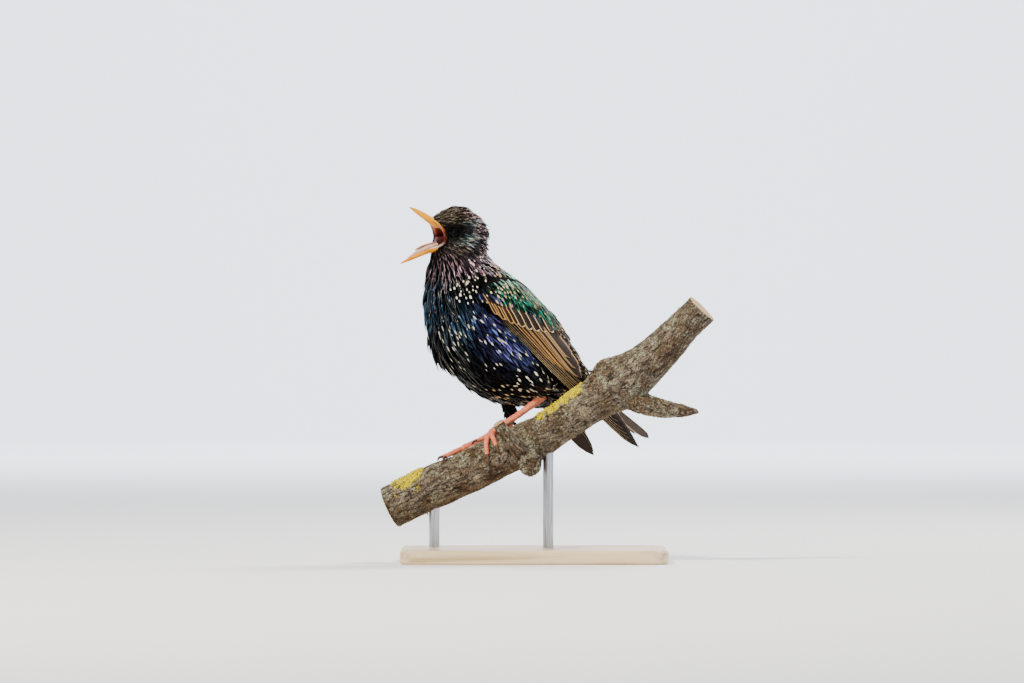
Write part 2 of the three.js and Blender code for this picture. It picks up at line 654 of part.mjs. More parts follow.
function makeHead(head) {
  const gape = new THREE.Shape(GAPE.map(([x, z]) => new THREE.Vector2(x, z)));
  const depth = 40;
  const wedge = new THREE.ExtrudeGeometry(gape, { depth, bevelEnabled: false })
    .translate(0, 0, -depth / 2).rotateX(Math.PI / 2);
  const lids = [-1, 1].map((side) => {
    const ring = new THREE.TorusGeometry(EYE.radius - 0.15, EYE.lid, 5, 14).rotateX(Math.PI / 2)
      .rotateZ(side * radians(-9));
    return solidOf(ring.translate(EYE.at.x, side * (EYE.at.y + 1.75), EYE.at.z));
  });
  const eyes = [-1, 1].map((side) => ellipsoid(
    vector(EYE.at.x, side * EYE.at.y, EYE.at.z), EYE.radius + GAP, EYE.radius + GAP, EYE.radius + GAP, 12, 8,
  ));
  const rims = [-1, 1].map((side) => tube(GAPE_RIM.map(([x, y, z]) => vector(x, side * y, z)), RIM_RADII, 6, 12));
  const bill = { steps: 6, sides: 10, grow: GAP + 0.1 };
  const mouth = joined([solidOf(wedge), ellipsoid(THROAT.at, THROAT.x, THROAT.y, THROAT.z)]);
  const taken = joined([UPPER_BILL.solid(bill), LOWER_BILL.solid(bill), ...eyes]);
  return largest(joined([joined([head, ...lids]).subtract(mouth), ...rims]).subtract(taken));
}

function makeUpperBill() {
  const bill = UPPER_BILL.solid({ steps: 8, sides: 10, tip: true });
  const nostrils = [-1, 1].map((side) => ellipsoid(vector(-44.3, side * 2.9, 64.9), 1.5, 0.9, 0.5, 10, 6));
  return largest(bill.subtract(joined(nostrils)));
}

function makeLowerBill() {
  const bill = LOWER_BILL.solid({ steps: 8, sides: 10, tip: true });
  return largest(bill.subtract(BILL_TROUGH.solid({ steps: 5, sides: 8 })));
}

// The stand

function makeBase() {
  const { length, width, thickness, corner, edge } = BASE;
  const [x, y] = [length / 2 - edge, width / 2 - edge];
  const outline = new THREE.Shape();
  outline.moveTo(-x + corner, -y).lineTo(x - corner, -y).absarc(x - corner, -y + corner, corner, -Math.PI / 2, 0)
    .lineTo(x, y - corner).absarc(x - corner, y - corner, corner, 0, Math.PI / 2)
    .lineTo(-x + corner, y).absarc(-x + corner, y - corner, corner, Math.PI / 2, Math.PI)
    .lineTo(-x, -y + corner).absarc(-x + corner, -y + corner, corner, Math.PI, 1.5 * Math.PI);
  const plate = new THREE.ExtrudeGeometry(outline, {
    depth: thickness - 2 * edge, bevelThickness: edge, bevelSize: edge, bevelSegments: 1, curveSegments: 6,
  });
  return solidOf(plate.translate(0, 0, edge));
}

const RODS = { low: -57, high: 8 };

// A rod from the base up to the middle line of the branch, cut to the bark's own shape at its top.
function makeRod(x, bark) {
  const low = BASE.thickness + GAP;
  const middle = BRANCH_LINE.getPoint(branchAt(x));
  const rod = new THREE.CylinderGeometry(ROD_RADIUS, ROD_RADIUS, middle.z - low, 20).rotateX(Math.PI / 2)
    .translate(x, middle.y, (low + middle.z) / 2);
  return largest(solidOf(rod).subtract(bark));
}

// Putting it together

const finishes = {
  plumage: { color: 0x14161c, roughness: 0.45, metalness: 0.3 },
  flight: { color: 0x4a3a2c, roughness: 0.6, metalness: 0 },
  bill: { color: 0xe0a81e, roughness: 0.4, metalness: 0 },
  mouth: { color: 0x9c4a34, roughness: 0.35, metalness: 0 },
  eye: { color: 0x0c0806, roughness: 0.08, metalness: 0 },
  legs: { color: 0xc9785a, roughness: 0.55, metalness: 0 },
  claw: { color: 0x3a2a22, roughness: 0.4, metalness: 0 },
  bark: { color: 0x6b5c49, roughness: 0.9, metalness: 0 },
  base: { color: 0xd9c9a8, roughness: 0.5, metalness: 0 },
  steel: { color: 0xb8babd, roughness: 0.3, metalness: 1 },
};
const materials = Object.fromEntries(
  Object.entries(finishes).map(([name, finish]) => [name, new THREE.MeshStandardMaterial({ name, ...finish })]),
);

const model = new THREE.Group();
const bird = new THREE.Group();
bird.applyMatrix4(birdToModel);
model.add(bird);

function add(group, name, material, solid) {
  const mesh = new THREE.Mesh(geometryOf(solid), materials[material]);
  mesh.name = name;
  group.add(mesh);
}

const wings = { left: wingSurface(WINGS.left), right: wingSurface(WINGS.right) };
const trunk = TORSO.solid({ steps: 16, sides: 20 });
const skull = HEAD.solid({ steps: 12, sides: 18 });
const whole = joined([trunk, skull]).subtract(joined([wingPocket(wings.left), wingPocket(wings.right)]));
const grown = joined([
  TORSO.solid({ steps: 16, sides: 20, grow: GAP }),
  TAIL_CORE.solid({ steps: 6, sides: 14, grow: GAP }),
]);

const throatLocks = lockRows(TORSO, [
  { t: 0.13, count: 6, spread: 60, reach: 0.085, width: 5.4, lift: 0.9 },
  { t: 0.165, count: 7, spread: 68, reach: 0.085, width: 5.6, lift: 1.2 },
  { t: 0.205, count: 8, spread: 74, reach: 0.085, width: 6, lift: 1.5 },
]);
const breastLocks = lockRows(TORSO, [
  { t: 0.36, count: 5, spread: 32, reach: 0.075, width: 6.4, lift: 1.6 },
  { t: 0.42, count: 4, spread: 24, reach: 0.07, width: 6.4, lift: 1.6 },
]);

const head = whole.intersect(before(CUTS.neck));
const neck = whole.intersect(past(CUTS.neck)).intersect(before(CUTS.breast));
const torso = whole.intersect(past(CUTS.breast)).intersect(before(CUTS.tail));
const rump = TAIL_CORE.solid({ steps: 6, sides: 14 }).intersect(past(CUTS.tail));

add(bird, 'head', 'plumage', makeHead(head));
add(bird, 'neck', 'plumage', largest(joined([neck, ...throatLocks])));
const heelRoom = joined(Object.values(FEET).map(({ heel }) => ellipsoid(heel, 3.4, 3, 3.4, 12, 8)));
add(bird, 'torso', 'plumage', largest(joined([torso, ...breastLocks]).subtract(heelRoom)));
add(bird, 'tail', 'flight', largest(joined([rump, ...tailFeathers()])));
add(bird, 'bill_upper', 'bill', makeUpperBill());
add(bird, 'bill_lower', 'bill', makeLowerBill());
add(bird, 'tongue', 'mouth', TONGUE.solid({ steps: 6, sides: 8 }));
for (const [name, leg] of Object.entries(LEGS)) {
  const eye = vector(EYE.at.x, leg.side * EYE.at.y, EYE.at.z);
  add(bird, `eye_${name}`, 'eye', ellipsoid(eye, EYE.radius, EYE.radius, EYE.radius, 14, 9));
  add(bird, `wing_${name}`, 'flight', makeWing(wings[name]));
  const foot = makeFoot(FEET[name]);
  add(bird, `thigh_${name}`, 'plumage', makeThigh(leg, joined([grown, heelRoom]), foot));
  add(bird, `foot_${name}`, 'legs', foot);
  FEET[name].toes.forEach((toe, i) => add(bird, `claw_${name}_${i + 1}`, 'claw', makeClaw(FEET[name], toe)));
}

const bark = branchSolid(GAP);
add(model, 'perch_branch', 'bark', makePerch());
add(model, 'stand_base', 'base', makeBase());
for (const [name, x] of Object.entries(RODS)) add(model, `stand_rod_${name}`, 'steel', makeRod(x, bark));

export default model;
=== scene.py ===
"""A life-size singing starling on a cut branch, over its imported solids.

The bird is worked out in millimetres in its own frame, +X towards the tail, +Y to its right and +Z up, from
the same named forms as the solids. It is then turned and set on the perch, in metres.
"""
import math

import bmesh
import bpy
import numpy as np
from bpy.props import FloatProperty, FloatVectorProperty, IntProperty, PointerProperty
from mathutils import Matrix, Vector, noise
from mathutils.bvhtree import BVHTree
from mathutils.kdtree import KDTree


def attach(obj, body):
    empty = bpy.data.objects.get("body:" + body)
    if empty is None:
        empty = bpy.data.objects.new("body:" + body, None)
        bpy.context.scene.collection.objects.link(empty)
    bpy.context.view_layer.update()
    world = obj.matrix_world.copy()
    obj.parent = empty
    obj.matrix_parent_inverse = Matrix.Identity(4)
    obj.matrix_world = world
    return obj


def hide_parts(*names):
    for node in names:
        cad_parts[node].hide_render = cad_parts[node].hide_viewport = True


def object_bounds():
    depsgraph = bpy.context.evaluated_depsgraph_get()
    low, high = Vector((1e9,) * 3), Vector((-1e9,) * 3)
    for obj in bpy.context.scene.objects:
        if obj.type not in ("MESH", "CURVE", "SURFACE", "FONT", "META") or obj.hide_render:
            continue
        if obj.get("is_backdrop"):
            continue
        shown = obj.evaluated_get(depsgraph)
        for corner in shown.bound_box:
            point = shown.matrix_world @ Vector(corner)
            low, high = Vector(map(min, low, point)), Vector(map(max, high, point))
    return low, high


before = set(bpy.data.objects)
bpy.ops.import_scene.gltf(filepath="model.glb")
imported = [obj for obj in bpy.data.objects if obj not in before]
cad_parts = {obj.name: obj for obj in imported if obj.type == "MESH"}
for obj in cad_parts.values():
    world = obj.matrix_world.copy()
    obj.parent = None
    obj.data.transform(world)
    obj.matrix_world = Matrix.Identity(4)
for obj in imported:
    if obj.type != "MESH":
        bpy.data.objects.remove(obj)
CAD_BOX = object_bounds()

bl_info = {
    "name": "Singing starling",
    "version": (1, 0, 0),
    "blender": (4, 5, 0),
    "location": "3D View > Sidebar > Starling",
    "description": "Builds a display model of a singing starling on a branch, piece by piece",
    "category": "Add Mesh",
}

MM = 0.001
BIRD_YAW = math.radians(23)
BIRD_AT = np.array([-19.4, 5.0, 132.6])
# The camera stands where the photograph was taken from: level, and looking along +Y
CAMERA = {"aim": (-12.571, 0.0, 126.0), "distance": 4000.0, "frame_width": 585.143}


# Sizes and colours that a user would change

def srgb(text):
    """An sRGB hex colour as linear red, green, blue and alpha."""
    parts = [int(text[i:i + 2], 16) / 255 for i in (1, 3, 5)]
    return (*[c / 12.92 if c <= 0.04045 else ((c + 0.055) / 1.055) ** 2.4 for c in parts], 1.0)


def colour(name, description, value):
    return FloatVectorProperty(name=name, description=description, subtype="COLOR", size=4, min=0, max=1,
                               default=srgb(value))


def length(name, description, value):
    return FloatProperty(name=name, description=description, default=value, min=0, unit="LENGTH", precision=5)


class StarlingSizes(bpy.types.PropertyGroup):
    coat_depth: length("Coat depth", "How far the skin lies inside the outline of the feathers", 0.0009)
    skin_grain: length("Skin grain", "Size of the cells that the skin is fused from", 0.0008)
    vane_thickness: length("Vane thickness", "Thickness of a flight feather at its shaft", 0.00034)
    spacing: FloatProperty(name="Feather spacing", description="Distance between small feathers, as a share "
                           "of the usual one", default=1.0, min=0.6, max=2.0, subtype="FACTOR")
    seed: IntProperty(name="Seed", description="Start of every random choice in coat and bark", default=7)


class StarlingColours(bpy.types.PropertyGroup):
    soot: colour("Soot black", "Ground colour of the body feathers", "#08080b")
    emerald: colour("Emerald", "Gloss of the mantle", "#1d6e57")
    violet: colour("Violet", "Gloss of the neck and throat", "#755f70")
    indigo: colour("Indigo", "Gloss of the flanks and lower shoulder", "#575a8e")
    teal: colour("Teal", "Gloss of the breast", "#2e5068")
    olive: colour("Olive", "Dull feathers of the forehead and crown", "#4a4336")
    # Ear green also paints the highlight above the eye
    ear: colour("Ear green", "Grey-green feathers behind the eye", "#93a6a1")
    umber: colour("Umber", "Dull brown of the rump, thighs and undertail", "#3b2f26")
    spot: colour("Spot", "Tips of the breast and belly feathers", "#e4dcc8")
    buff: colour("Buff", "Tips of the mantle, rump and lower belly feathers", "#c9a873")
    bill: colour("Bill", "Yellow horn of the bill", "#db9600")
    leg: colour("Leg", "Salmon skin of the legs", "#dd8263")


class PerchSettings(bpy.types.PropertyGroup):
    bark: colour("Bark", "Grey-brown bark", "#645a4d")
    lichen: colour("Yellow lichen", "Crust of yellow lichen along the top of the branch", "#bfb000")
    crack_depth: length("Crack depth", "Depth of the cracks in the bark", 0.0007)
    base_wood: colour("Base wood", "Pale wood of the display base", "#d6bf97")


# Lines, forms and surfaces. They are those of the solids, but the head, nape, breast and the rear edge of the
# wing are fitted closer to the photograph.

class Line:
    """A smooth line through points, from 0 to 1, with even curvature through uneven steps."""

    def __init__(self, points):
        points = np.asarray(points, float)
        self.points = np.vstack([2 * points[0] - points[1], points, 2 * points[-1] - points[-2]])
        self.spans = len(points) - 1

    def at(self, t):
        place = np.clip(np.atleast_1d(np.asarray(t, float)), 0, 1) * self.spans
        i = np.clip(np.floor(place).astype(int), 0, self.spans - 1)
        w = (place - i)[:, None]
        a, b, c, d = (self.points[i + k] for k in range(4))
        gaps = [np.maximum(((q - p) ** 2).sum(1), 1e-9)[:, None] ** 0.25 for p, q in ((a, b), (b, c), (c, d))]
        start = ((b - a) / gaps[0] - (c - a) / (gaps[0] + gaps[1]) + (c - b) / gaps[1]) * gaps[1]
        end = ((c - b) / gaps[1] - (d - b) / (gaps[1] + gaps[2]) + (d - c) / gaps[2]) * gaps[1]
        return b + start * w + (3 * (c - b) - 2 * start - end) * w ** 2 + (2 * (b - c) + start + end) * w ** 3

    def along(self, t):
        t = np.atleast_1d(np.asarray(t, float))
        step = self.at(np.minimum(t + 1e-4, 1)) - self.at(np.maximum(t - 1e-4, 0))
        return step / np.linalg.norm(step, axis=1, keepdims=True)


class Form:
    """A solid round a line in the middle plane. Each section is x, z, and the reach up, down and sideways."""

    def __init__(self, sections, roundness=2.15):
        sections = np.asarray(sections, float)
        self.line = Line(np.column_stack([sections[:, 0], np.zeros(len(sections)), sections[:, 1]]))
        self.sizes = Line(sections[:, 2:])
        self.power = 2 / roundness

    def at(self, t, angle, grow=0.0):
        t, angle = np.broadcast_arrays(np.asarray(t, float), np.asarray(angle, float))
        middle, sizes, along = self.line.at(t), self.sizes.at(t), self.line.along(t)
        c, s = np.cos(angle), np.sin(angle)
        rise = np.sign(c) * np.abs(c) ** self.power * (np.where(c > 0, sizes[:, 0], sizes[:, 1]) + grow)
        side = np.sign(s) * np.abs(s) ** self.power * (sizes[:, 2] + grow)
        return middle + np.column_stack([-along[:, 2] * rise, side, along[:, 0] * rise])

    def rings(self, steps, sides, grow=0.0):
        angles = np.linspace(0, 2 * np.pi, sides, endpoint=False)
        return [self.at(np.full(sides, t), angles, grow) for t in np.linspace(0, 1, steps + 1)]


TORSO = Form([
    [-25, 52, 16.2, 15, 12.4],
    [-26, 41, 17.6, 16.3, 14.2],
    [-21, 23, 25.4, 24.8, 23.5],
    [-9.3, 4.6, 31, 34.2, 28],
    [5, -11.4, 29, 31, 28.5],
    [21.7, -24, 24.6, 22.6, 22],
    [38, -32, 17.4, 13, 15.5],
    [52, -38.5, 10.5, 8, 11],
    [61, -44, 6.5, 5, 9],
])
HEAD = Form([
    [-43.6, 53, 7.7, 9, 5.5],
    [-41, 54, 9.9, 11, 8],
    [-36, 55, 12.7, 13.5, 10.4],
    [-30, 55, 15.4, 15, 12.2],
    [-24, 55, 15.4, 16, 12.8],
    [-18.8, 54.4, 12, 16, 12.4],
    [-14.8, 52.6, 8.6, 13.6, 10.4],
    [-12.2, 50.6, 5.4, 9.4, 7],
    [-10.8, 49.6, 2.6, 4.6, 3],
])
TAIL_CORE = Form([
    [44, -32.5, 14, 11, 14.5],
    [52, -38.5, 10.5, 8, 11.5],
    [58, -42, 6, 6.5, 9],
    [63, -44.5, 3.6, 4.6, 7.5],
    [67, -46.6, 2, 2.4, 6],
])
UPPER_BILL = Form([
    [-56.2, 69.9, 0.2, 0.2, 0.2],
    [-54, 68.8, 0.85, 0.8, 0.8],
    [-49.7, 66.5, 1.6, 1.55, 1.7],
    [-46, 64.3, 1.95, 1.85, 2.4],
    [-43, 62.4, 2.1, 2, 3.2],
    [-40, 60.8, 2.2, 2, 4.2],
    [-37.5, 59.8, 2.2, 2, 4.6],
], 1.9)
LOWER_BILL = Form([
    [-61.8, 37.6, 0.2, 0.2, 0.2],
    [-59.5, 38.7, 0.6, 0.6, 0.8],
    [-55.5, 40.6, 1, 1.2, 1.7],
    [-51, 42.7, 1.2, 1.5, 2.5],
    [-46.5, 44.6, 1.3, 1.7, 3.3],
    [-42.5, 45.9, 1.3, 1.8, 4.1],
    [-39.5, 46.7, 1.3, 1.8, 4.6],
], 1.9)
# Pale floor of the lower bill, between its edges and under the tongue
BILL_FLOOR = Form([
    [-57, 40.8, 0.3, 0.5, 0.6],
    [-54, 42.6, 0.8, 0.9, 1.3],
    [-50, 44.8, 1.1, 1.2, 2],
    [-46.5, 46.5, 1.3, 1.5, 2.7],
    [-42.5, 47.9, 1.2, 1.7, 3.4],
    [-39, 48.8, 1.1, 1.7, 3.6],
])
TONGUE = Form([
    [-52.5, 45.4, 0.3, 0.3, 0.5],
    [-50.5, 46.5, 0.6, 0.5, 1],
    [-47, 47.8, 0.8, 0.6, 1.6],
    [-43, 48.8, 0.9, 0.7, 2],
    [-38, 49.6, 1, 0.7, 2.2],
    [-29.3, 50.6, 1, 0.8, 1.8],
])
THIGHS = {
    "left": ([(3, -19.5, -18), (11.5, -20.5, -27), (17.4, -20.4, -33), (20.1, -20, -36.6)], (9, 8, 5, 2.3)),
    "right": ([(7, 12, -26), (9, 10, -38), (9.4, 8, -47), (8.6, 6.6, -54)], (8, 5.6, 3.9, 2.2)),
}
GAPE = [(-50, 68), (-45, 62.9), (-40.4, 60), (-37.9, 56.2), (-36.7, 52.4), (-37.6, 49.6), (-40.4, 47.8),
        (-45, 46.4), (-50, 44)]
# Edge of the skin at the corner of the mouth, on the right side
GAPE_RIM = [
    (-44, 3.2, 63), (-41.6, 5.4, 61.4), (-39.8, 7, 59.3), (-38.2, 8.2, 56.2), (-37.5, 8.7, 52.8),
    (-38.2, 8.4, 49.8), (-40.8, 7, 47.6), (-44.6, 5, 46.3), (-48, 3.4, 44.6),
]
THROAT = {"at": (-36, 0, 53), "reach": (9, 5.6, 6)}
EYE = {"at": (-31.8, 9.7, 54.8), "radius": 2.4}
SIDES = {"left": -1, "right": 1}


def in_model(points):
    """Places in the bird's frame, in millimetres, as places in the model, in metres."""
    x, y, z = np.asarray(points, float).reshape(-1, 3).T
    c, s = math.cos(BIRD_YAW), math.sin(BIRD_YAW)
    return (np.column_stack([x * c - y * s, x * s + y * c, z]) + BIRD_AT) * MM


def in_bird(points):
    """Places in the model, in metres, as places in the bird's frame, in millimetres."""
    x, y, z = (np.asarray(points, float).reshape(-1, 3) / MM - BIRD_AT).T
    c, s = math.cos(BIRD_YAW), math.sin(BIRD_YAW)
    return np.column_stack([x * c + y * s, y * c - x * s, z])


WRIST = np.array([-25, 21.5, 19.4])
WING_TIP = np.array([71.1, 30.5, -67.4])
WING_CURVE = {"radius": 27, "opening": 0.3, "lean": math.radians(2)}
WING_LENGTH = 131.5
WING_POSE = {"left": {"droop": 0, "slide": 0}, "right": {"droop": 2, "slide": 2.6}}
# Flesh and down of the folded wing: distance along it, front edge and rear edge
WING_CORE = np.array([
    [0.5, 2.8, 9], [3, 0.6, 15], [9, -0.6, 22], [19, -0.8, 29], [31, -0.3, 32.5], [44, 0, 31], [56, 0.8, 25],
    [66, 3, 18.6], [75, 5, 15.4], [84, 7.5, 12.6],
])
# Height of the wing's rear edge, where it runs into the back: distance along the wing, height
REAR_HEIGHT = np.array([[0, 3], [6, 4.4], [14, 4.5], [19, 4], [25, 3], [31, 1.4], [40, 0.3]])
# Lower border of the shoulder feathers over the coverts: distance along the wing, and in from its front edge
SHOULDER = np.array([
    [0, 3.2], [7.5, 4.5], [13, 6.5], [18, 9.6], [27.5, 12.2], [37, 13.8], [44, 15.6], [52, 19],
])
# Bed that the folded wing takes out of the body: distance along the wing, front edge and rear edge
WING_BED = np.array([
    [-0.8, 2, 8], [3, -0.8, 13], [10, -2.2, 19], [20, -2.5, 24.5], [34, -2.6, 28], [50, -2.8, 27],
    [66, -3, 24], [80, -3.2, 21], [95, -3, 16],
])
# Front edge of the scaly feathers behind the tertials
SCALY = np.array([[40, 16], [48, 14.6], [56, 13], [64, 11.6], [72, 9.8], [80, 8.2], [84, 7.6]])
CORE_DEPTH = 2.2
POCKET_DEPTH = 2.6
SCALE_SWELL = 0.16
UV_MARGIN = 0.02
# Places tried for each feather that stays
TRIES = 7
# How far above its root and how far below it a feather looks for the ground. The body's usual radius says where
# the ground lies if it finds none.
PROBE, PROBE_DEPTH = 7, 9
BODY_RADIUS = 15
BARK_GRAIN = 0.0006
# How far the sawn end faces of the perch reach from their middles, and its usual radius
CUT_REACH = 17
BRANCH_RADIUS = 12.2
GLOSS = "contour_feather_structural_gloss"


def unit(v):
    v = np.asarray(v, float)
    return v / np.linalg.norm(v, axis=-1, keepdims=True)


class WingSurface:
    """The folded wing: distance from the wrist, distance in from the leading edge, and height out of it."""

    def __init__(self, name):
        span = WING_TIP - WRIST
        self.side = SIDES[name]
        self.along = unit(span)
        upward = np.array([-self.along[2], 0, self.along[0]])
        self.outward = unit(np.array([0, 1, 0]) - self.along * self.along[1])
        self.across = unit(upward - self.outward * (upward @ self.outward))
        self.slide = WING_POSE[name]["slide"]
        self.turn = np.array(Matrix.Rotation(math.radians(WING_POSE[name]["droop"]), 3, "Y"))

    def at(self, t, c, h):
        t, c, h = np.broadcast_arrays(*(np.asarray(v, float) for v in (t, c, h)))
        t, c, h = (v[..., None] for v in (t + self.slide, c, h))
        radius = WING_CURVE["radius"] + WING_CURVE["opening"] * np.maximum(0, t)
        start = WING_CURVE["lean"]
        lean = start + c / radius
        point = (self.along * t + self.across * (radius * (np.sin(lean) - math.sin(start)) + h * np.sin(lean))
                 + self.outward * (radius * (np.cos(lean) - math.cos(start)) + h * np.cos(lean)))
        return (point @ self.turn.T + WRIST) * np.array([1, self.side, 1])
    def local(self, points):
        """Places in the bird's frame, seen from the wrist of the wing as it is posed."""
        return (points * [1, self.side, 1] - WRIST) @ self.turn

    def covers(self, points):
        """Whether places on the body lie in the bed of the wing."""
        local = self.local(points)
        t = local @ self.along - self.slide
        radius = WING_CURVE["radius"] + WING_CURVE["opening"] * np.maximum(0, t + self.slide)
        start = WING_CURVE["lean"]
        a = local @ self.across + radius * math.sin(start)
        b = local @ self.outward + radius * math.cos(start)
        c = (np.arctan2(a, b) - start) * radius
        rear = np.interp(t, WING_BED[:, 0], WING_BED[:, 2])
        above = np.hypot(a, b) - radius > -POCKET_DEPTH - 1.0
        return (t > 0) & (t < WING_BED[-1, 0]) & (c > -1) & (c < rear - 1) & above


TAIL_ROOT = np.array([38.6, 0, -18.9])
TAIL = {"pairs": 6, "length": 65, "pitch": math.radians(40), "half": 5.6, "fan": math.radians(2.1),
        "root": 24, "start": 0.9, "drop": 0.58, "tilt": 0.15, "notch": 0.35}


def tail_surface(s, y, h):
    """Distance along the tail, distance to the right, and height above it, as a place in the bird's frame."""
    s, y, h = np.broadcast_arrays(*(np.asarray(v, float) for v in (s, y, h)))
    c, d = math.cos(TAIL["pitch"]), math.sin(TAIL["pitch"])
    return TAIL_ROOT + np.stack([s * c + h * d, y, -s * d + h * c], axis=-1)


BRANCH = np.array([
    [-82, 31, 12.3], [-67, 38, 12.4], [-53, 45, 12.3], [-41.5, 50, 12.2], [-29, 55.8, 12.1],
    [-17.5, 61.2, 12.2], [-6, 67, 12.4], [7, 74.3, 11.5], [18, 81.5, 11.1], [29, 88.6, 11.5],
    [40, 95.5, 12.6], [49, 101.5, 14],
    [60, 110, 13], [72, 120.5, 10.8], [84, 133.5, 9.6], [95, 145, 9.4],
])
SADDLE = {"centre": 46, "reach": 9, "height": 4.2}


def branch_y(x):
    return -8 - 0.22 * (x + 18.6)


BRANCH_LINE = Line(np.column_stack([BRANCH[:, 0], branch_y(BRANCH[:, 0]), BRANCH[:, 1]]))
BRANCH_RADII = Line(np.column_stack([BRANCH[:, 2], np.zeros(len(BRANCH)), np.zeros(len(BRANCH))]))
BRANCH_LENGTH = float(np.linalg.norm(np.diff(BRANCH_LINE.at(np.linspace(0, 1, 400)), axis=0), axis=1).sum())


def branch_surface(t, angle, grow=0.0):
    """A place on the branch at t, 0 to 1, and at an angle from its top, positive towards the front, in mm."""
    t, angle = np.broadcast_arrays(np.asarray(t, float), np.asarray(angle, float))
    middle, along = BRANCH_LINE.at(t), BRANCH_LINE.along(t)
    up = unit(np.array([0, 0, 1]) - along * along[:, 2:])
    front = -np.cross(up, along)
    swell = (SADDLE["height"] * np.exp(-((middle[:, 0] - SADDLE["centre"]) / SADDLE["reach"]) ** 2)
             * np.maximum(0, np.cos(angle)) ** 3)
    knobbly = 0.35 * np.sin(3 * angle + 23 * t) + 0.25 * np.sin(2 * angle - 41 * t)
    radius = (BRANCH_RADII.at(t)[:, 0] + swell + knobbly + grow)[:, None]
    return middle + up * radius * np.cos(angle)[:, None] + front * radius * np.sin(angle)[:, None]


def branch_at(x):
    """The share of the branch's length at which its middle has a given x, in millimetres."""
    low, high = 0.0, 1.0
    for _ in range(30):
        middle = (low + high) / 2
        low, high = (middle, high) if BRANCH_LINE.at(middle)[0, 0] < x else (low, middle)
    return (low + high) / 2


# Meshes

def read(items, key, width, kind=float):
    """One property of every vertex, corner or triangle of a mesh, as rows of a table."""
    values = np.empty(len(items) * width, kind)
    items.foreach_get(key, values)
    return values.reshape(-1, width)


def points_of(mesh):
    return read(mesh.vertices, "co", 3)


def store(mesh, name, kind, values):
    """Write an attribute of a mesh's points."""
    field = {"FLOAT": "value", "FLOAT_VECTOR": "vector", "FLOAT_COLOR": "color"}[kind]
    layer = mesh.attributes.new(name, kind, "POINT")
    layer.data.foreach_set(field, np.asarray(values, float).ravel())


def opaque(colours):
    """Rows of red, green and blue with an alpha of 1 added."""
    return np.column_stack([colours, np.ones(len(colours))])


def new_object(name, points, faces, uv=None):
    """A smooth-shaded mesh object from places in metres and faces, with a UV for each point if given."""
    mesh = bpy.data.meshes.new(name)
    mesh.from_pydata([tuple(p) for p in points], [], [tuple(f) for f in faces])
    mesh.shade_smooth()
    if uv is not None:
        corners = read(mesh.loops, "vertex_index", 1, int)[:, 0]
        mesh.uv_layers.new(name="Vane").data.foreach_set("uv", np.asarray(uv)[corners].ravel())
    made = bpy.data.objects.new(name, mesh)
    bpy.context.collection.objects.link(made)
    return made


def ring_faces(count, sides, start=0, closed=True):
    """Quads between rings of points, with both ends closed."""
    faces = []
    for i in range(count - 1):
        for j in range(sides):
            k = (j + 1) % sides
            a, b = start + i * sides, start + (i + 1) * sides
            faces.append((a + j, a + k, b + k, b + j))
    if closed:
        faces.append(tuple(start + j for j in reversed(range(sides))))
        faces.append(tuple(start + (count - 1) * sides + j for j in range(sides)))
    return faces


def loft(name, rings, to_model=in_model):
    """A closed skin over rings of equal count, with its faces turned outwards."""
    made = new_object(name, to_model(np.vstack(rings)), ring_faces(len(rings), len(rings[0])))
    face_outwards(made)
    return made


def face_outwards(piece):
    mesh = bmesh.new()
    mesh.from_mesh(piece.data)
    bmesh.ops.recalc_face_normals(mesh, faces=mesh.faces)
    mesh.to_mesh(piece.data)
    mesh.free()


def tube(name, path, radii, sides=8, steps=10, to_model=in_model, scales=0):
    """A round tube along points, with a radius at each, that doesn't twist. scales swell it in steps."""
    line, sizes = Line(path), Line(np.column_stack([radii, np.zeros(len(radii)), np.zeros(len(radii))]))
    shares = np.linspace(0, 1, steps + 1)
    middle, along = line.at(shares), line.along(shares)
    angle = np.linspace(0, 2 * np.pi, sides, endpoint=False)[:, None]
    side = unit(np.cross(along[0], [0.13, 0.4, 0.9]))
    rings = []
    for i, share in enumerate(shares):
        side = unit(side - along[i] * (side @ along[i]))
        other = np.cross(along[i], side)
        swell = SCALE_SWELL * (scales * share % 1) if scales else 0
        radius = sizes.at(share)[0, 0] * (1 + swell)
        rings.append(middle[i] + radius * (np.cos(angle) * side + np.sin(angle) * other))
    return loft(name, rings, to_model)


def ball(name, centre, reach, to_model=in_model, across=32, down=20):
    """A closed ellipsoid round a centre, in millimetres."""
    polar = np.linspace(0, np.pi, down + 1)[1:-1]
    turn = np.linspace(0, 2 * np.pi, across, endpoint=False)
    rings = [np.column_stack([np.sin(p) * np.cos(turn), np.sin(p) * np.sin(turn), np.full(across, np.cos(p))])
             for p in polar]
    made = new_object(name, [], [])
    points = np.vstack(rings + [[[0, 0, 1]], [[0, 0, -1]]]) * reach + centre
    count = across * len(polar)
    faces = ring_faces(len(polar), across, closed=False)
    last = count - across
    for j in range(across):
        k = (j + 1) % across
        faces += [(count, k, j), (count + 1, last + j, last + k)]
    made.data.from_pydata([tuple(p) for p in to_model(points)], [], faces)
    made.data.shade_smooth()
    face_outwards(made)
    return made


def settled(piece):
    """Turn an object's modifiers into its mesh."""
    mesh = bpy.data.meshes.new_from_object(piece.evaluated_get(bpy.context.evaluated_depsgraph_get()))
    piece.modifiers.clear()
    old, piece.data = piece.data, mesh
    name = old.name
    bpy.data.meshes.remove(old)
    mesh.name = name
    mesh.shade_smooth()
    return piece


def carved(piece, others, operation):
    """Join other objects to one, or take them from it, and remove them."""
    for other in others:
        cut = piece.modifiers.new("cut", "BOOLEAN")
        cut.object, cut.operation, cut.solver = other, operation, "EXACT"
    settled(piece)
    for other in others:
        bpy.data.objects.remove(other)
    return piece


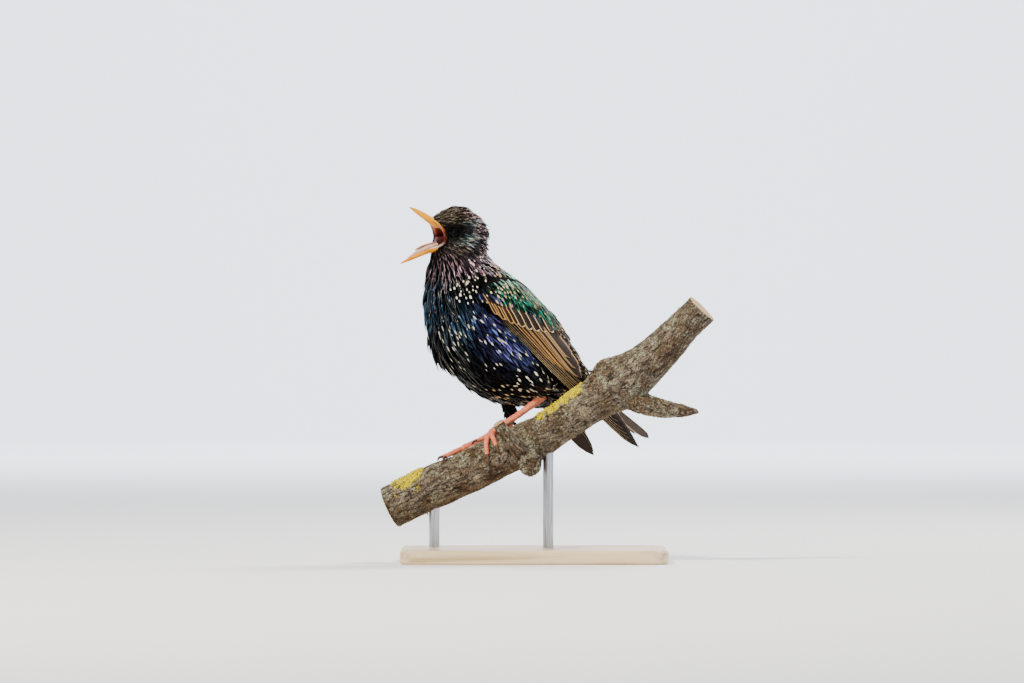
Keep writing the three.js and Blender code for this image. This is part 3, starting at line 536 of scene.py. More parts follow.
def joined(name, pieces):
    """One object from several, keeping their materials and UV maps."""
    with bpy.context.temp_override(active_object=pieces[0], selected_editable_objects=pieces):
        bpy.ops.object.join()
    pieces[0].name = pieces[0].data.name = name
    return pieces[0]


def finish_piece(piece, nodes, material=None):
    """Hand a piece to the frame: it rides on the model, and stands for the given nodes and slot."""
    if material:
        piece.data.materials.clear()
        piece.data.materials.append(material)
    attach(piece, "root")
    if nodes:
        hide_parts(*nodes)
    return piece

# Materials

def wire(tree, node, inputs):
    """Set each named input of a node to a value, or link it to another node's output."""
    for socket, value in inputs.items():
        if isinstance(value, bpy.types.NodeSocket):
            tree.links.new(value, node.inputs[socket])
        else:
            node.inputs[socket].default_value = value


def add_node(tree, kind, inputs=None, stops=None, **settings):
    """Add a node to a tree, with its settings, its colour stops, and its inputs set or linked."""
    made = tree.nodes.new(kind)
    for key, value in settings.items():
        setattr(made, key, value)
    if stops:
        elements = made.color_ramp.elements
        while len(elements) < len(stops):
            elements.new(1.0)
        for element, (place, value) in zip(elements, stops):
            element.position, element.color = place, value
    wire(tree, made, inputs or {})
    return made


def calc(tree, operation, *values):
    """A sum on numbers and other nodes' results."""
    return add_node(tree, "ShaderNodeMath", dict(enumerate(values)), operation=operation).outputs[0]


def spread(tree, value, low, high, new_low=0.0, new_high=1.0):
    """A value stretched from one range to another, and held at both ends."""
    return add_node(tree, "ShaderNodeMapRange", {"Value": value, "From Min": low, "From Max": high,
                                                 "To Min": new_low, "To Max": new_high}).outputs[0]


def blend(tree, share, first, second, mode="MIX"):
    """Two colours mixed by a share, or multiplied."""
    return add_node(tree, "ShaderNodeMix", {0: share, 6: first, 7: second}, data_type="RGBA",
                    blend_type=mode).outputs[2]


def toned(tree, value, stops):
    """A value turned into a colour. Each stop is a place from 0 to 1 and a colour."""
    return add_node(tree, "ShaderNodeValToRGB", {"Fac": value}, stops=stops).outputs[0]


def cloud(tree, place, scale, detail, **inputs):
    return add_node(tree, "ShaderNodeTexNoise",
                    {"Vector": place, "Scale": scale, "Detail": detail, **inputs}).outputs["Fac"]


def bumps(tree, height, strength, distance):
    return add_node(tree, "ShaderNodeBump",
                    {"Height": height, "Strength": strength, "Distance": distance}).outputs[0]


def object_place(tree):
    return add_node(tree, "ShaderNodeTexCoord").outputs["Object"]


def stored(tree, name, output="Fac"):
    """An attribute of the mesh, as a number or a colour."""
    return add_node(tree, "ShaderNodeAttribute", attribute_name=name).outputs[output]


def on_vane(tree):
    """Where on its feather a place lies: across, along, and how far from the shaft, 0.5 at the edge."""
    place = add_node(tree, "ShaderNodeUVMap", uv_map="Vane")
    split = add_node(tree, "ShaderNodeSeparateXYZ", {"Vector": place.outputs["UV"]})
    across, along = split.outputs["X"], split.outputs["Y"]
    return across, along, calc(tree, "ABSOLUTE", calc(tree, "SUBTRACT", across, 0.5))


def new_material(name):
    """An empty material with its output and a Principled shader."""
    material = bpy.data.materials.new(name)
    material.use_nodes = True
    tree = material.node_tree
    tree.nodes.clear()
    shader = add_node(tree, "ShaderNodeBsdfPrincipled")
    add_node(tree, "ShaderNodeOutputMaterial", {"Surface": shader.outputs["BSDF"]})
    return material, tree, shader


def shared(name, make):
    """A material that several pieces share, made when it is first needed."""
    return bpy.data.materials.get(name) or make(name)


def body_feather_material(name):
    """Contour feather: black keratin whose thin layers give a coloured metallic gloss, and a pale tip.

    The gloss runs in streaks along the barbs, which is what the eye reads as green, violet or blue on black.
    The tip has no such layers, so it looks chalky.
    """
    material, tree, shader = new_material(name)
    spot, drift, quill, sheen = (stored(tree, key) for key in ("spot", "drift", "quill", "sheen"))
    across, along, edge = on_vane(tree)
    # The pale tip reaches further back along the shaft than at the edges, like a drop
    reach = calc(tree, "MULTIPLY_ADD", calc(tree, "POWER", edge, 2.0), -1.1, along)
    pale = spread(tree, calc(tree, "SUBTRACT", reach, calc(tree, "SUBTRACT", 1.0, spot)), -0.02, 0.03)
    # A pale line along the shaft, on the hackles
    line = calc(tree, "MULTIPLY", spread(tree, edge, 0.05, 0.14, 1.0, 0.0), spread(tree, along, 0.3, 0.75))
    pale = calc(tree, "MAXIMUM", pale, calc(tree, "MULTIPLY", line, quill))
    # Streaks of gloss along the vane, different on each feather
    wide, long = (calc(tree, "MULTIPLY_ADD", *pair, drift) for pair in ((across, 6.0), (along, 1.3)))
    where = add_node(tree, "ShaderNodeCombineXYZ", {"X": wide, "Y": long})
    barbs = cloud(tree, where.outputs[0], 1.0, 2.0)
    # The gloss fades towards the root: partly the dull base of each feather, partly painted shade where the
    # feathers overlap
    strength = calc(tree, "MULTIPLY", spread(tree, barbs, 0.46, 0.66, 0.02, 2.8),
                    spread(tree, along, 0.1, 0.6, 0.25, 1.0))
    gloss = blend(tree, 1.0, stored(tree, "tint", "Color"), strength, "MULTIPLY")
    wire(tree, shader, {
        "Base Color": blend(tree, pale, gloss, stored(tree, "tip", "Color")),
        "Metallic": calc(tree, "MULTIPLY", spread(tree, pale, 0.0, 1.0, 0.85, 0.0), sheen),
        "Roughness": spread(tree, pale, 0.0, 1.0, 0.3, 0.8),
        "Normal": bumps(tree, barbs, 0.5, 0.0002), "Specular IOR Level": 0.12})
    return material


def skin_material(name):
    """Down and feather bases under the coat: matt, and darker than the feathers over them."""
    material, tree, shader = new_material(name)
    dark = blend(tree, 1.0, stored(tree, "tint", "Color"), (0.12, 0.12, 0.12, 1.0), "MULTIPLY")
    wire(tree, shader, {"Base Color": dark, "Roughness": 0.9, "Specular IOR Level": 0.1})
    return material


def flight_material(name, fringe, web, start=0.4, fade=2.0, tip_band=(0.97, 1.0)):
    """Flight feather: stiff brown web with an orange-buff outer part, a pale rim and a dark shaft, satin.

    start is where the fringe begins, 0 at the shaft and 0.5 at the edge, and fade is where along the feather
    it ends. tip_band is where the pale tip begins and where it is palest.
    """
    material, tree, shader = new_material(name)
    across, along, edge = on_vane(tree)
    fringe_tone, rim_tone, dark, middle, outer = (srgb(text) for text in (*fringe, *web))
    # The rim goes round the tip too
    rim = calc(tree, "MAXIMUM", edge, spread(tree, along, *tip_band, 0.0, 0.5))
    rim = calc(tree, "MULTIPLY_ADD", cloud(tree, object_place(tree), 700.0, 2.0), 0.03, rim)
    bands = toned(tree, rim, [(0.0, dark), (start - 0.05, middle), (start, outer),
                              (start + 0.015, fringe_tone), (0.485, fringe_tone), (0.5, rim_tone)])
    bare = toned(tree, rim, [(0.0, dark), (0.44, middle), (0.485, outer), (0.5, rim_tone)])
    tone = blend(tree, spread(tree, along, fade - 0.12, fade), bands, bare)
    tone = blend(tree, spread(tree, edge, 0.015, 0.04, 1.0, 0.0), tone, srgb("#120d0a"))
    # Barbs as fine slanting streaks in the tone, and as ridges
    slant = calc(tree, "MULTIPLY", calc(tree, "MULTIPLY_ADD", edge, -0.25, along), 520.0)
    lines = add_node(tree, "ShaderNodeCombineXYZ", {"X": slant, "Y": across})
    barbs = cloud(tree, lines.outputs[0], 1.0, 1.0)
    wire(tree, shader, {
        "Base Color": blend(tree, 1.0, tone, spread(tree, barbs, 0.3, 0.7, 0.88, 1.12), "MULTIPLY"),
        "Normal": bumps(tree, barbs, 0.3, 0.0001), "Roughness": 0.6, "Specular IOR Level": 0.2})
    return material


def shaded(value, factors):
    """A colour with its red, green and blue made weaker or stronger."""
    return (*[v * f for v, f in zip(value, factors)], 1.0)


def plain_material(name, value, other, roughness, scale=400.0, specular=0.2):
    """A finish with a soft mottle of two tones: horn or skin, which the eye reads as alive, not painted."""
    material, tree, shader = new_material(name)
    tones = toned(tree, cloud(tree, object_place(tree), scale, 4.0), [(0.35, value), (0.65, other)])
    wire(tree, shader, {"Base Color": tones, "Roughness": roughness, "Specular IOR Level": specular})
    return material


def level_material(name, roughness, levels):
    """Moist skin whose colour changes with height. In the mouth, its darkening as the mouth deepens is painted
    shade.

    Each level is a height in the bird's frame in millimetres, and a colour.
    """
    material, tree, shader = new_material(name)
    split = add_node(tree, "ShaderNodeSeparateXYZ", {"Vector": object_place(tree)})
    first, last = levels[0][0], levels[-1][0]
    share = spread(tree, split.outputs["Z"], *((BIRD_AT[2] + z) * MM for z in (first, last)))
    tones = toned(tree, share, [((z - first) / (last - first), srgb(text)) for z, text in levels])
    wire(tree, shader, {"Base Color": tones, "Roughness": roughness, "Specular IOR Level": 0.1})
    return material
# The coat: colours, lie and length of the small feathers

def near(points, centre, reach):
    """1 at a place and 0 a good way off, for each point."""
    gap = (points - np.asarray(centre, float)) / np.asarray(reach, float)
    return np.exp(-(gap ** 2).sum(1))


def ramp(value, low, high):
    x = np.clip((value - low) / (high - low), 0, 1)
    return x * x * (3 - 2 * x)


def wander(points, size, seed):
    """Smooth noise from -1 to 1 at each point, with patches of about the given size in millimetres."""
    shift = Vector((seed * 17.3, seed * 5.1, seed * 9.7))
    return np.array([noise.noise(Vector(p) / size + shift) for p in points])


# Patches of gloss on both sides of the coat: centre and reach in the bird's frame, colour and strength. From
# crown, nape, ear and neck to breast, flank and thigh; the small pale patch above the eye is a painted
# highlight.
COAT_PATCHES = [
    ((-37, 0, 66), (11, 12, 9), "olive", 1.0),
    ((-24, 6, 66), (10, 12, 7), "olive", 0.55),
    ((-18, 6, 60), (9, 12, 9), "violet", 0.45),
    # Painted highlight: a small pale patch above the eye, in ear green
    ((-24.5, 11, 61), (3.4, 5, 1.6), "ear", 0.9),
    ((-26, 12, 51.3), (5.5, 6, 3.2), "ear", 1.1),
    ((-27, 13, 39.5), (10, 10, 4.5), "violet", 0.75),
    ((-14, 8, 42), (8, 9, 6), "violet", 0.8),
    ((-41, 6, 34), (6, 12, 5), "violet", 0.2),
    ((-31, 12, 46.4), (6, 6, 3.4), "olive", 1.1),
    ((-43, 8, 20), (8, 16, 11), "teal", 0.6),
    ((-34, 20, 6), (9, 12, 10), "teal", 0.7),
    ((-20, 24, 5), (8, 10, 9), "indigo", 0.75),
    ((-8, 26, -5), (9, 12, 9), "indigo", 1.0),
    ((3, 26, -12), (5, 8, 3.5), "indigo", 0.6),
    ((16, 22, -30), (8, 9, 8), "umber", 0.6),
    ((30, 8, -40), (14, 14, 9), "umber", 0.9),
]
DULL_PATCHES = [
    ((-36, 0, 67), (13, 13, 8), 0.8), ((-23, 12, 52), (6, 6, 9), 0.5), ((20, 16, -38), (22, 18, 10), 0.8),
]
# Dark feathers before the eye, and the plain black middle of the belly
MASK = ((-35, 12, 56.3), (8, 9, 4.6))
DARK_BELLY = ((-26, 22, -18), (17, 20, 12))
# Bold round dots on the side of the neck, and white marks behind the belly
DOTS = ((-15, 17, 30), (15, 10, 11))
MARKS = ((3, 22, -21), (13, 12, 10))


def mirrored(points):
    """The same places, all brought to one side of the bird."""
    return np.abs(points) * [0, 1, 0] + points * [1, 0, 1]


def on_back(points):
    """How far places lie towards the back, from 0 to 1."""
    return ramp(points[:, 2] + 0.72 * points[:, 0], 8, 18)


def tones(*keys):
    """Some of the coat's colours, as red, green and blue."""
    colours = bpy.context.scene.starling_colours
    return [np.array(getattr(colours, key)[:3]) for key in keys]


def between(first, second, share):
    """Colours between two, by a share for each point."""
    return first + (second - first) * share[:, None]


def coat_colour(points):
    """The gloss at places on the body, from where they are and a little drift."""
    soot, emerald, umber = tones("soot", "emerald", "umber")
    shade = np.tile(soot, (len(points), 1))
    folded = mirrored(points)
    back = on_back(points) * ramp(-points[:, 2], -40, -33)
    layers = [(back * ramp(points[:, 0], -11, 3), emerald), (back * ramp(points[:, 0], 18, 34), umber)]
    layers += [(strength * near(folded, centre, reach), tones(key)[0])
               for centre, reach, key, strength in COAT_PATCHES]
    layers += [(1.5 * near(folded, *MASK), soot * 0.25), (0.95 * near(folded, *DARK_BELLY), soot * 0.5)]
    for weight, target in layers:
        shade = between(shade, target, np.clip(weight, 0, 1))
    return shade * (1 + 0.9 * wander(points, 6.0, 1)[:, None]).clip(0.15, 1.9)


def coat_sheen(points):
    """How metallic the feathers are: less on the crown, behind the eye, and on the thighs and undertail."""
    dull = [strength * near(mirrored(points), centre, reach) for centre, reach, strength in DULL_PATCHES]
    return 1 - np.max(dull, axis=0)


def coat_lie(points, normals):
    """The way feathers point at places on the body: back from the bill, then down the body to the tail."""
    focus = np.array([-53, 0, 60])
    from_bill = unit(points - focus)
    shares = np.linspace(0, 1, 60)
    line, along = TORSO.line.at(shares), TORSO.line.along(shares)
    nearest = np.argmin(((points[:, None] - line[None]) ** 2).sum(2), axis=1)
    down_body = along[nearest] + 0.12 * np.array([0, 1, 0]) * np.sign(points[:, 1:2])
    body = ramp(-points[:, 2] - 0.25 * points[:, 0], -40, -26)[:, None]
    lie = from_bill * (1 - body) + unit(down_body) * body
    lie -= normals * (lie * normals).sum(1, keepdims=True)
    return unit(lie)


def scattered(skin, spacing, keep, seed):
    """Places spread evenly over a skin: millimetres in the bird's frame, normals, and places on its unwrap.

    spacing gives the distance wanted at each point, and keep says which points take a feather.
    """
    mesh = skin.data
    mesh.calc_loop_triangles()
    corners, loops = (read(mesh.loop_triangles, key, 3, int) for key in ("vertices", "loops"))
    places = in_bird(points_of(mesh))
    unwrap = read(mesh.uv_layers["SkinMap"].data, "uv", 2)
    normals = unit(in_bird(in_model([[0, 0, 0]]) + read(mesh.vertices, "normal", 3) * MM))
    random = np.random.default_rng(seed)
    a, b, c = (places[corners[:, k]] for k in range(3))
    middle = (a + b + c) / 3
    area = np.linalg.norm(np.cross(b - a, c - a), axis=1) / 2
    area = np.where(keep(middle), area / spacing(middle) ** 2, 0)
    number = int(area.sum() * TRIES)
    pick = random.choice(len(corners), number, p=area / area.sum())
    r1, r2 = np.sqrt(random.random(number)), random.random(number)
    share = np.column_stack([1 - r1, r1 * (1 - r2), r1 * r2])[:, :, None]
    spots = (places[corners[pick]] * share).sum(1)
    ways = unit((normals[corners[pick]] * share).sum(1))
    maps = (unwrap[loops[pick]] * share).sum(1)
    gaps = spacing(spots)
    # A place stays if none that stayed before it lies nearer than its gap, in its own cell or one beside it
    size = float(gaps.max())
    around = [(dx, dy, dz) for dx in (-1, 0, 1) for dy in (-1, 0, 1) for dz in (-1, 0, 1)]
    cells, kept = {}, []
    for i, (spot, (x, y, z)) in enumerate(zip(spots, np.floor(spots / size).astype(int).tolist())):
        others = [j for dx, dy, dz in around for j in cells.get((x + dx, y + dy, z + dz), ())]
        if not others or ((spots[others] - spot) ** 2).sum(1).min() >= gaps[i] * gaps[i]:
            cells.setdefault((x, y, z), []).append(i)
            kept.append(i)
    return spots[kept], ways[kept], maps[kept]


def thin_mesh(name, top, under, uv, columns):
    """A thin closed mesh from two grids of points, its upper and under sides, which share their edges."""
    rows = len(top) // columns
    inner = [i * columns + j for i in range(1, rows - 1) for j in range(1, columns - 1)]
    number = {k: len(top) + n for n, k in enumerate(inner)}
    faces = []
    for i in range(rows - 1):
        for j in range(columns - 1):
            quad = [i * columns + j, (i + 1) * columns + j, (i + 1) * columns + j + 1, i * columns + j + 1]
            faces += [quad, [number.get(k, k) for k in reversed(quad)]]
    return new_object(name, np.vstack([top, under[inner]]), faces, np.vstack([uv, uv[inner]]))


def small_feather(name, outline, columns=5, cup=0.35, thickness=0.07):
    """A unit feather along +X, one wide, that curves down to -1 at its tip, as a thin closed mesh."""
    shares, widths = np.array(outline).T
    across = np.linspace(-1, 1, columns)
    x = np.repeat(shares[:, None], columns, 1)
    y = across[None] * widths[:, None] / 2
    z = -x ** 2 - cup * (across[None] * widths[:, None]) ** 2
    top = np.stack([x, y, z], -1).reshape(-1, 3)
    uv = np.stack([np.repeat((across[None] + 1) / 2, len(shares), 0), x], -1).reshape(-1, 2)
    made = thin_mesh(name, top, top - [0, 0, thickness], uv, columns)
    made.hide_render = True
    return made


# Outlines of the small feathers: share of the length, share of the full width
FEATHER_SHAPES = {
    "round": [(0, 0.35), (0.25, 0.8), (0.5, 1.0), (0.75, 0.95), (0.92, 0.62), (1.0, 0.2)],
    "point": [(0, 0.4), (0.25, 0.85), (0.5, 1.0), (0.72, 0.74), (0.9, 0.38), (1.0, 0.1)],
    "lance": [(0, 0.4), (0.3, 0.9), (0.55, 0.9), (0.75, 0.55), (0.9, 0.3), (1.0, 0.06)],
}


def coat_tree():
    """Nodes that set one feather at each root and keep the root's own place on the skin's unwrap."""
    tree = bpy.data.node_groups.new("Feather coat", "GeometryNodeTree")
    for name, kind in (("Roots", "NodeSocketGeometry"), ("Feather", "NodeSocketObject"),
                       ("Vane material", "NodeSocketMaterial"), ("Patch size", "NodeSocketFloat")):
        tree.interface.new_socket(name=name, in_out="INPUT", socket_type=kind)
    tree.interface.new_socket(name="Coat", in_out="OUTPUT", socket_type="NodeSocketGeometry")
    given = add_node(tree, "NodeGroupInput")
    feather = add_node(tree, "GeometryNodeObjectInfo", {"Object": given.outputs["Feather"]})
    kept = [add_node(tree, "GeometryNodeInputNamedAttribute", {"Name": name}, data_type="FLOAT_VECTOR")
            for name in ("turn", "size", "Vane", "root_map")]
    turn, size, vane, root = (node.outputs["Attribute"] for node in kept)
    turned = add_node(tree, "FunctionNodeEulerToRotation", {"Euler": turn})
    placed = add_node(tree, "GeometryNodeInstanceOnPoints", {
        "Points": given.outputs["Roots"], "Instance": feather.outputs["Geometry"],
        "Rotation": turned.outputs["Rotation"], "Scale": size})
    real = add_node(tree, "GeometryNodeRealizeInstances", {"Geometry": placed.outputs["Instances"]})
    patch = add_node(tree, "ShaderNodeVectorMath", {0: vane, "Scale": given.outputs["Patch size"]},
                     operation="SCALE")
    place = add_node(tree, "ShaderNodeVectorMath", {0: patch.outputs[0], 1: root}, operation="ADD")
    mapped = add_node(tree, "GeometryNodeStoreNamedAttribute", {
        "Geometry": real.outputs["Geometry"], "Name": "OFBake", "Value": place.outputs[0]},
        data_type="FLOAT2", domain="CORNER")
    dressed = add_node(tree, "GeometryNodeSetMaterial", {
        "Geometry": mapped.outputs["Geometry"], "Material": given.outputs["Vane material"]})
    add_node(tree, "NodeGroupOutput", {"Coat": dressed.outputs["Geometry"]})
    return tree


def rest_on(ground, places, normals, lie, long, proud):
    """Pitch and bend that carry each feather over the ground under it and leave its tip standing proud."""
    heights = []
    for share in (0.5, 1.0):
        above = places + lie * (long * share)[:, None] + normals * PROBE
        drop = -(long * share) ** 2 / (2 * BODY_RADIUS)
        for i, (start, down) in enumerate(zip(above, -normals)):
            hit = ground.ray_cast(Vector(start), Vector(down), PROBE + PROBE_DEPTH)[3]
            if hit is not None:
                drop[i] = PROBE - hit
        heights.append(np.clip(drop, -0.8 * long * share, 0.25 * long * share))
    middle, tip = heights[0] + 0.9 * proud, heights[1] + proud
    bend = np.maximum(4 * middle - 2 * tip, 0.35 + 0.02 * long)
    return np.arctan2(tip + bend, long), bend


def lay_coat(name, roots, shape, material, patch_size=0.003):
    """Grow one coat piece from the places, ways, sizes and colours of its feathers."""
    normals, lie, pitch = roots["normals"], roots["lie"], roots["pitch"][:, None]
    side = np.cross(normals, lie)
    forward = lie * np.cos(pitch) + normals * np.sin(pitch)
    out = normals * np.cos(pitch) - lie * np.sin(pitch)
    yaw = np.array(Matrix.Rotation(BIRD_YAW, 3, "Z"))
    turns = [Matrix(np.column_stack([yaw @ way for way in ways])).to_euler()[:]
             for ways in zip(forward, side, out)]
    base = new_object(name, in_model(roots["places"]), [])
    store(base.data, "turn", "FLOAT_VECTOR", turns)
    store(base.data, "size", "FLOAT_VECTOR", roots["size"] * MM)
    store(base.data, "root_map", "FLOAT_VECTOR", opaque(roots["unwrap"]) * [1, 1, 0])
    for key in ("spot", "quill", "drift", "sheen"):
        store(base.data, key, "FLOAT", roots[key])
    for key in ("tint", "tip"):
        store(base.data, key, "FLOAT_COLOR", opaque(roots[key]))
    feather = small_feather("feather", FEATHER_SHAPES[shape])
    tree = bpy.data.node_groups.get("Feather coat") or coat_tree()
    grown = base.modifiers.new("coat", "NODES")
    grown.node_group = tree
    sockets = {item.name: item.identifier for item in tree.interface.items_tree if item.in_out == "INPUT"}
    grown[sockets["Feather"]] = feather
    grown[sockets["Vane material"]] = material
    grown[sockets["Patch size"]] = patch_size
    base.update_tag()
    settled(base)
    bpy.data.objects.remove(feather)
    for extra in ("turn", "size", "root_map"):
        if extra in base.data.attributes:
            base.data.attributes.remove(base.data.attributes[extra])
    return base


# Pieces

class PieceOperator:
    """Shared by the operators that build the model."""
    bl_options = {"REGISTER", "UNDO"}


def skin_uv(piece):
    """Unwrap the skin by where it lies round and along the body."""
    mesh = piece.data
    x, y, z = in_bird(points_of(mesh)).T
    height = z * 0.62 - x * 0.5
    angle = np.arctan2(y, x * 0.89 + z * 0.55)
    shares = [angle / (2 * math.pi) + 0.5, (height - height.min()) / (height.max() - height.min())]
    corners = read(mesh.loops, "vertex_index", 1, int)[:, 0]
    uv = (UV_MARGIN + (1 - 2 * UV_MARGIN) * np.column_stack(shares))[corners]
    mesh.uv_layers.new(name="SkinMap").data.foreach_set("uv", uv.ravel())


class STARLING_OT_skin(PieceOperator, bpy.types.Operator):
    """Fuse the head, neck, body and thighs into one skin that lies inside the feathers"""
    bl_idname = "starling.skin"
    bl_label = "Skin"

    def execute(self, context):
        sizes = context.scene.starling_sizes
        depth = -sizes.coat_depth / MM
        skin = loft("skin", TORSO.rings(32, 36, depth))
        head = loft("head_form", HEAD.rings(28, 36, depth))
        wedge = loft("gape_cut", [np.array([(x, y, z) for x, z in GAPE]) for y in (-20, 20)])
        throat = ball("throat_cut", THROAT["at"], THROAT["reach"])
        carved(head, [wedge, throat], "DIFFERENCE")
        others = [head, loft("rump_form", TAIL_CORE.rings(12, 24, depth))]
        others += [tube(f"thigh_form_{name}", path, np.array(radii) + depth * 0.6, 20, 14)
                   for name, (path, radii) in THIGHS.items()]
        carved(skin, others, "UNION")
        carved(skin, [wing_pocket(name) for name in SIDES], "DIFFERENCE")
        fused = skin.modifiers.new("fuse", "REMESH")
        fused.mode, fused.voxel_size = "VOXEL", sizes.skin_grain
        soft = skin.modifiers.new("soften", "SMOOTH")
        soft.factor, soft.iterations = 0.5, 4
        settled(skin)
        skin_uv(skin)
        places = in_bird(points_of(skin.data))
        store(skin.data, "tint", "FLOAT_COLOR", opaque(coat_colour(places)))
        skin.data.materials.append(shared("feather_base_down", skin_material))
        # Mouth lining: flesh colour at the top, with painted shade darkening it to near black as the mouth
        # deepens
        skin.data.materials.append(level_material("mouth_lining_flesh", 0.3, [
            (46, "#0c0203"), (49.5, "#150405"), (53, "#3f110b"), (57, "#7c2f12"), (60, "#95471a")]))
        inside = in_mouth(in_bird([f.center[:] for f in skin.data.polygons]))
        skin.data.polygons.foreach_set("material_index", inside.astype(int))
        finish_piece(skin, ["head", "neck", "torso", "thigh_left", "thigh_right"])
        return {"FINISHED"}


def in_mouth(points):
    """Whether places lie on the walls of the open mouth."""
    x, y, z = points.T
    poly = np.array(GAPE)
    inside = np.zeros(len(points), bool)
    middle = poly.mean(0)
    grown = poly + 0.45 * unit(poly - middle)
    for (x1, z1), (x2, z2) in zip(grown, np.roll(grown, -1, 0)):
        crosses = (z1 > z) != (z2 > z)
        inside ^= crosses & (x < (x2 - x1) * (z - z1) / (z2 - z1 + 1e-12) + x1)
    throat = (((points - THROAT["at"]) / (np.array(THROAT["reach"]) + 0.5)) ** 2).sum(1) < 1
    return (inside | throat) & (np.abs(y) < 8.7)


def wing_pocket(name):
    place = WingSurface(name)
    rings = []
    for t, front, rear in WING_BED:
        shares = np.linspace(0, 1, 9)
        floor = place.at(t, front + (rear - front) * shares, -POCKET_DEPTH)
        top = place.at(t, np.array([rear, (rear + front) / 2, front]), 30)
        rings.append(np.vstack([floor, top]))
    return loft(f"pocket_{name}", rings)


def feather_roots(places, normals, unwrap, lie, ground, plan, seed):
    """Everything that the feathers of one part of the coat need, from that part's plan."""
    random = np.random.default_rng(seed + 1)
    many = len(places)
    value = lambda key: plan[key](places) if callable(plan[key]) else np.full(many, float(plan[key]))
    lie = unit(lie + np.cross(normals, lie) * random.normal(0, plan.get("sway", 0.12), many)[:, None])
    long = value("length") * random.normal(1, 0.08, many).clip(0.75, 1.3)
    proud = value("proud") * random.normal(1, plan.get("ragged", 0.25), many).clip(0.2, 2.6)
    places = places - normals * 0.2
    pitch, bend = rest_on(ground, places, normals, lie, long, proud)
    wide = value("width") * random.normal(1, 0.08, many)
    pale = random.random(many) < value("spotted")
    return {
        "places": places, "normals": normals, "unwrap": unwrap, "lie": lie, "pitch": pitch,
        "size": np.column_stack([long, wide, bend]),
        "spot": np.where(pale, value("spot") * random.normal(1, 0.2, many) / long, 0),
        "quill": value("quill") * random.random(many), "drift": random.random(many) * 60,
        "sheen": coat_sheen(places),
        "tint": plan.get("tint", coat_colour)(places) * random.normal(1, 0.09, (many, 3)).clip(0.6, 1.4)
        * random.lognormal(-0.25, 0.6, many).clip(0.12, 2.4)[:, None],
        "tip": plan["tip"](places) * random.normal(1, 0.1, many).clip(0.7, 1.3)[:, None],
    }


def part_at(points):
    """Which piece of the coat each place on the body belongs to."""
    x, y, z = points.T
    dotted = 8 * np.exp(-((z - 27) / 8) ** 2)
    uneven = 2.5 * np.sin(1.3 * x + 0.9 * y)
    tests = {
        "coat_head": z > 44.5 + 0.14 * (x + 24), "coat_throat": (x < -30 - dotted) & (z > 12 + uneven),
        "coat_nape": z > 20 + 0.25 * (x + 20), "coat_back": on_back(points) >= 0.5,
        "coat_breast": z > -13 + 0.2 * x}
    return np.select(list(tests.values()), list(tests), "coat_belly")


def face(points):
    """How near places are to the bill and the eye, from 0 to 1."""
    return near(mirrored(points), (-38, 8, 56), (6, 9, 9)).clip(0, 1)


def bare(points):
    """Eyes, bill, mouth and wing beds take no feathers."""
    eye = np.linalg.norm(mirrored(points) - np.array(EYE["at"]), axis=1)
    bills = near(points, (-39.5, 0, 60.5), (3.2, 3.6, 3.2)) + near(points, (-40, 0, 47), (3, 3.8, 3)) > 0.6
    beds = WingSurface("left").covers(points) | WingSurface("right").covers(points)
    return (eye < EYE["radius"]) | in_mouth(points) | bills | beds | (points[:, 0] > 57)


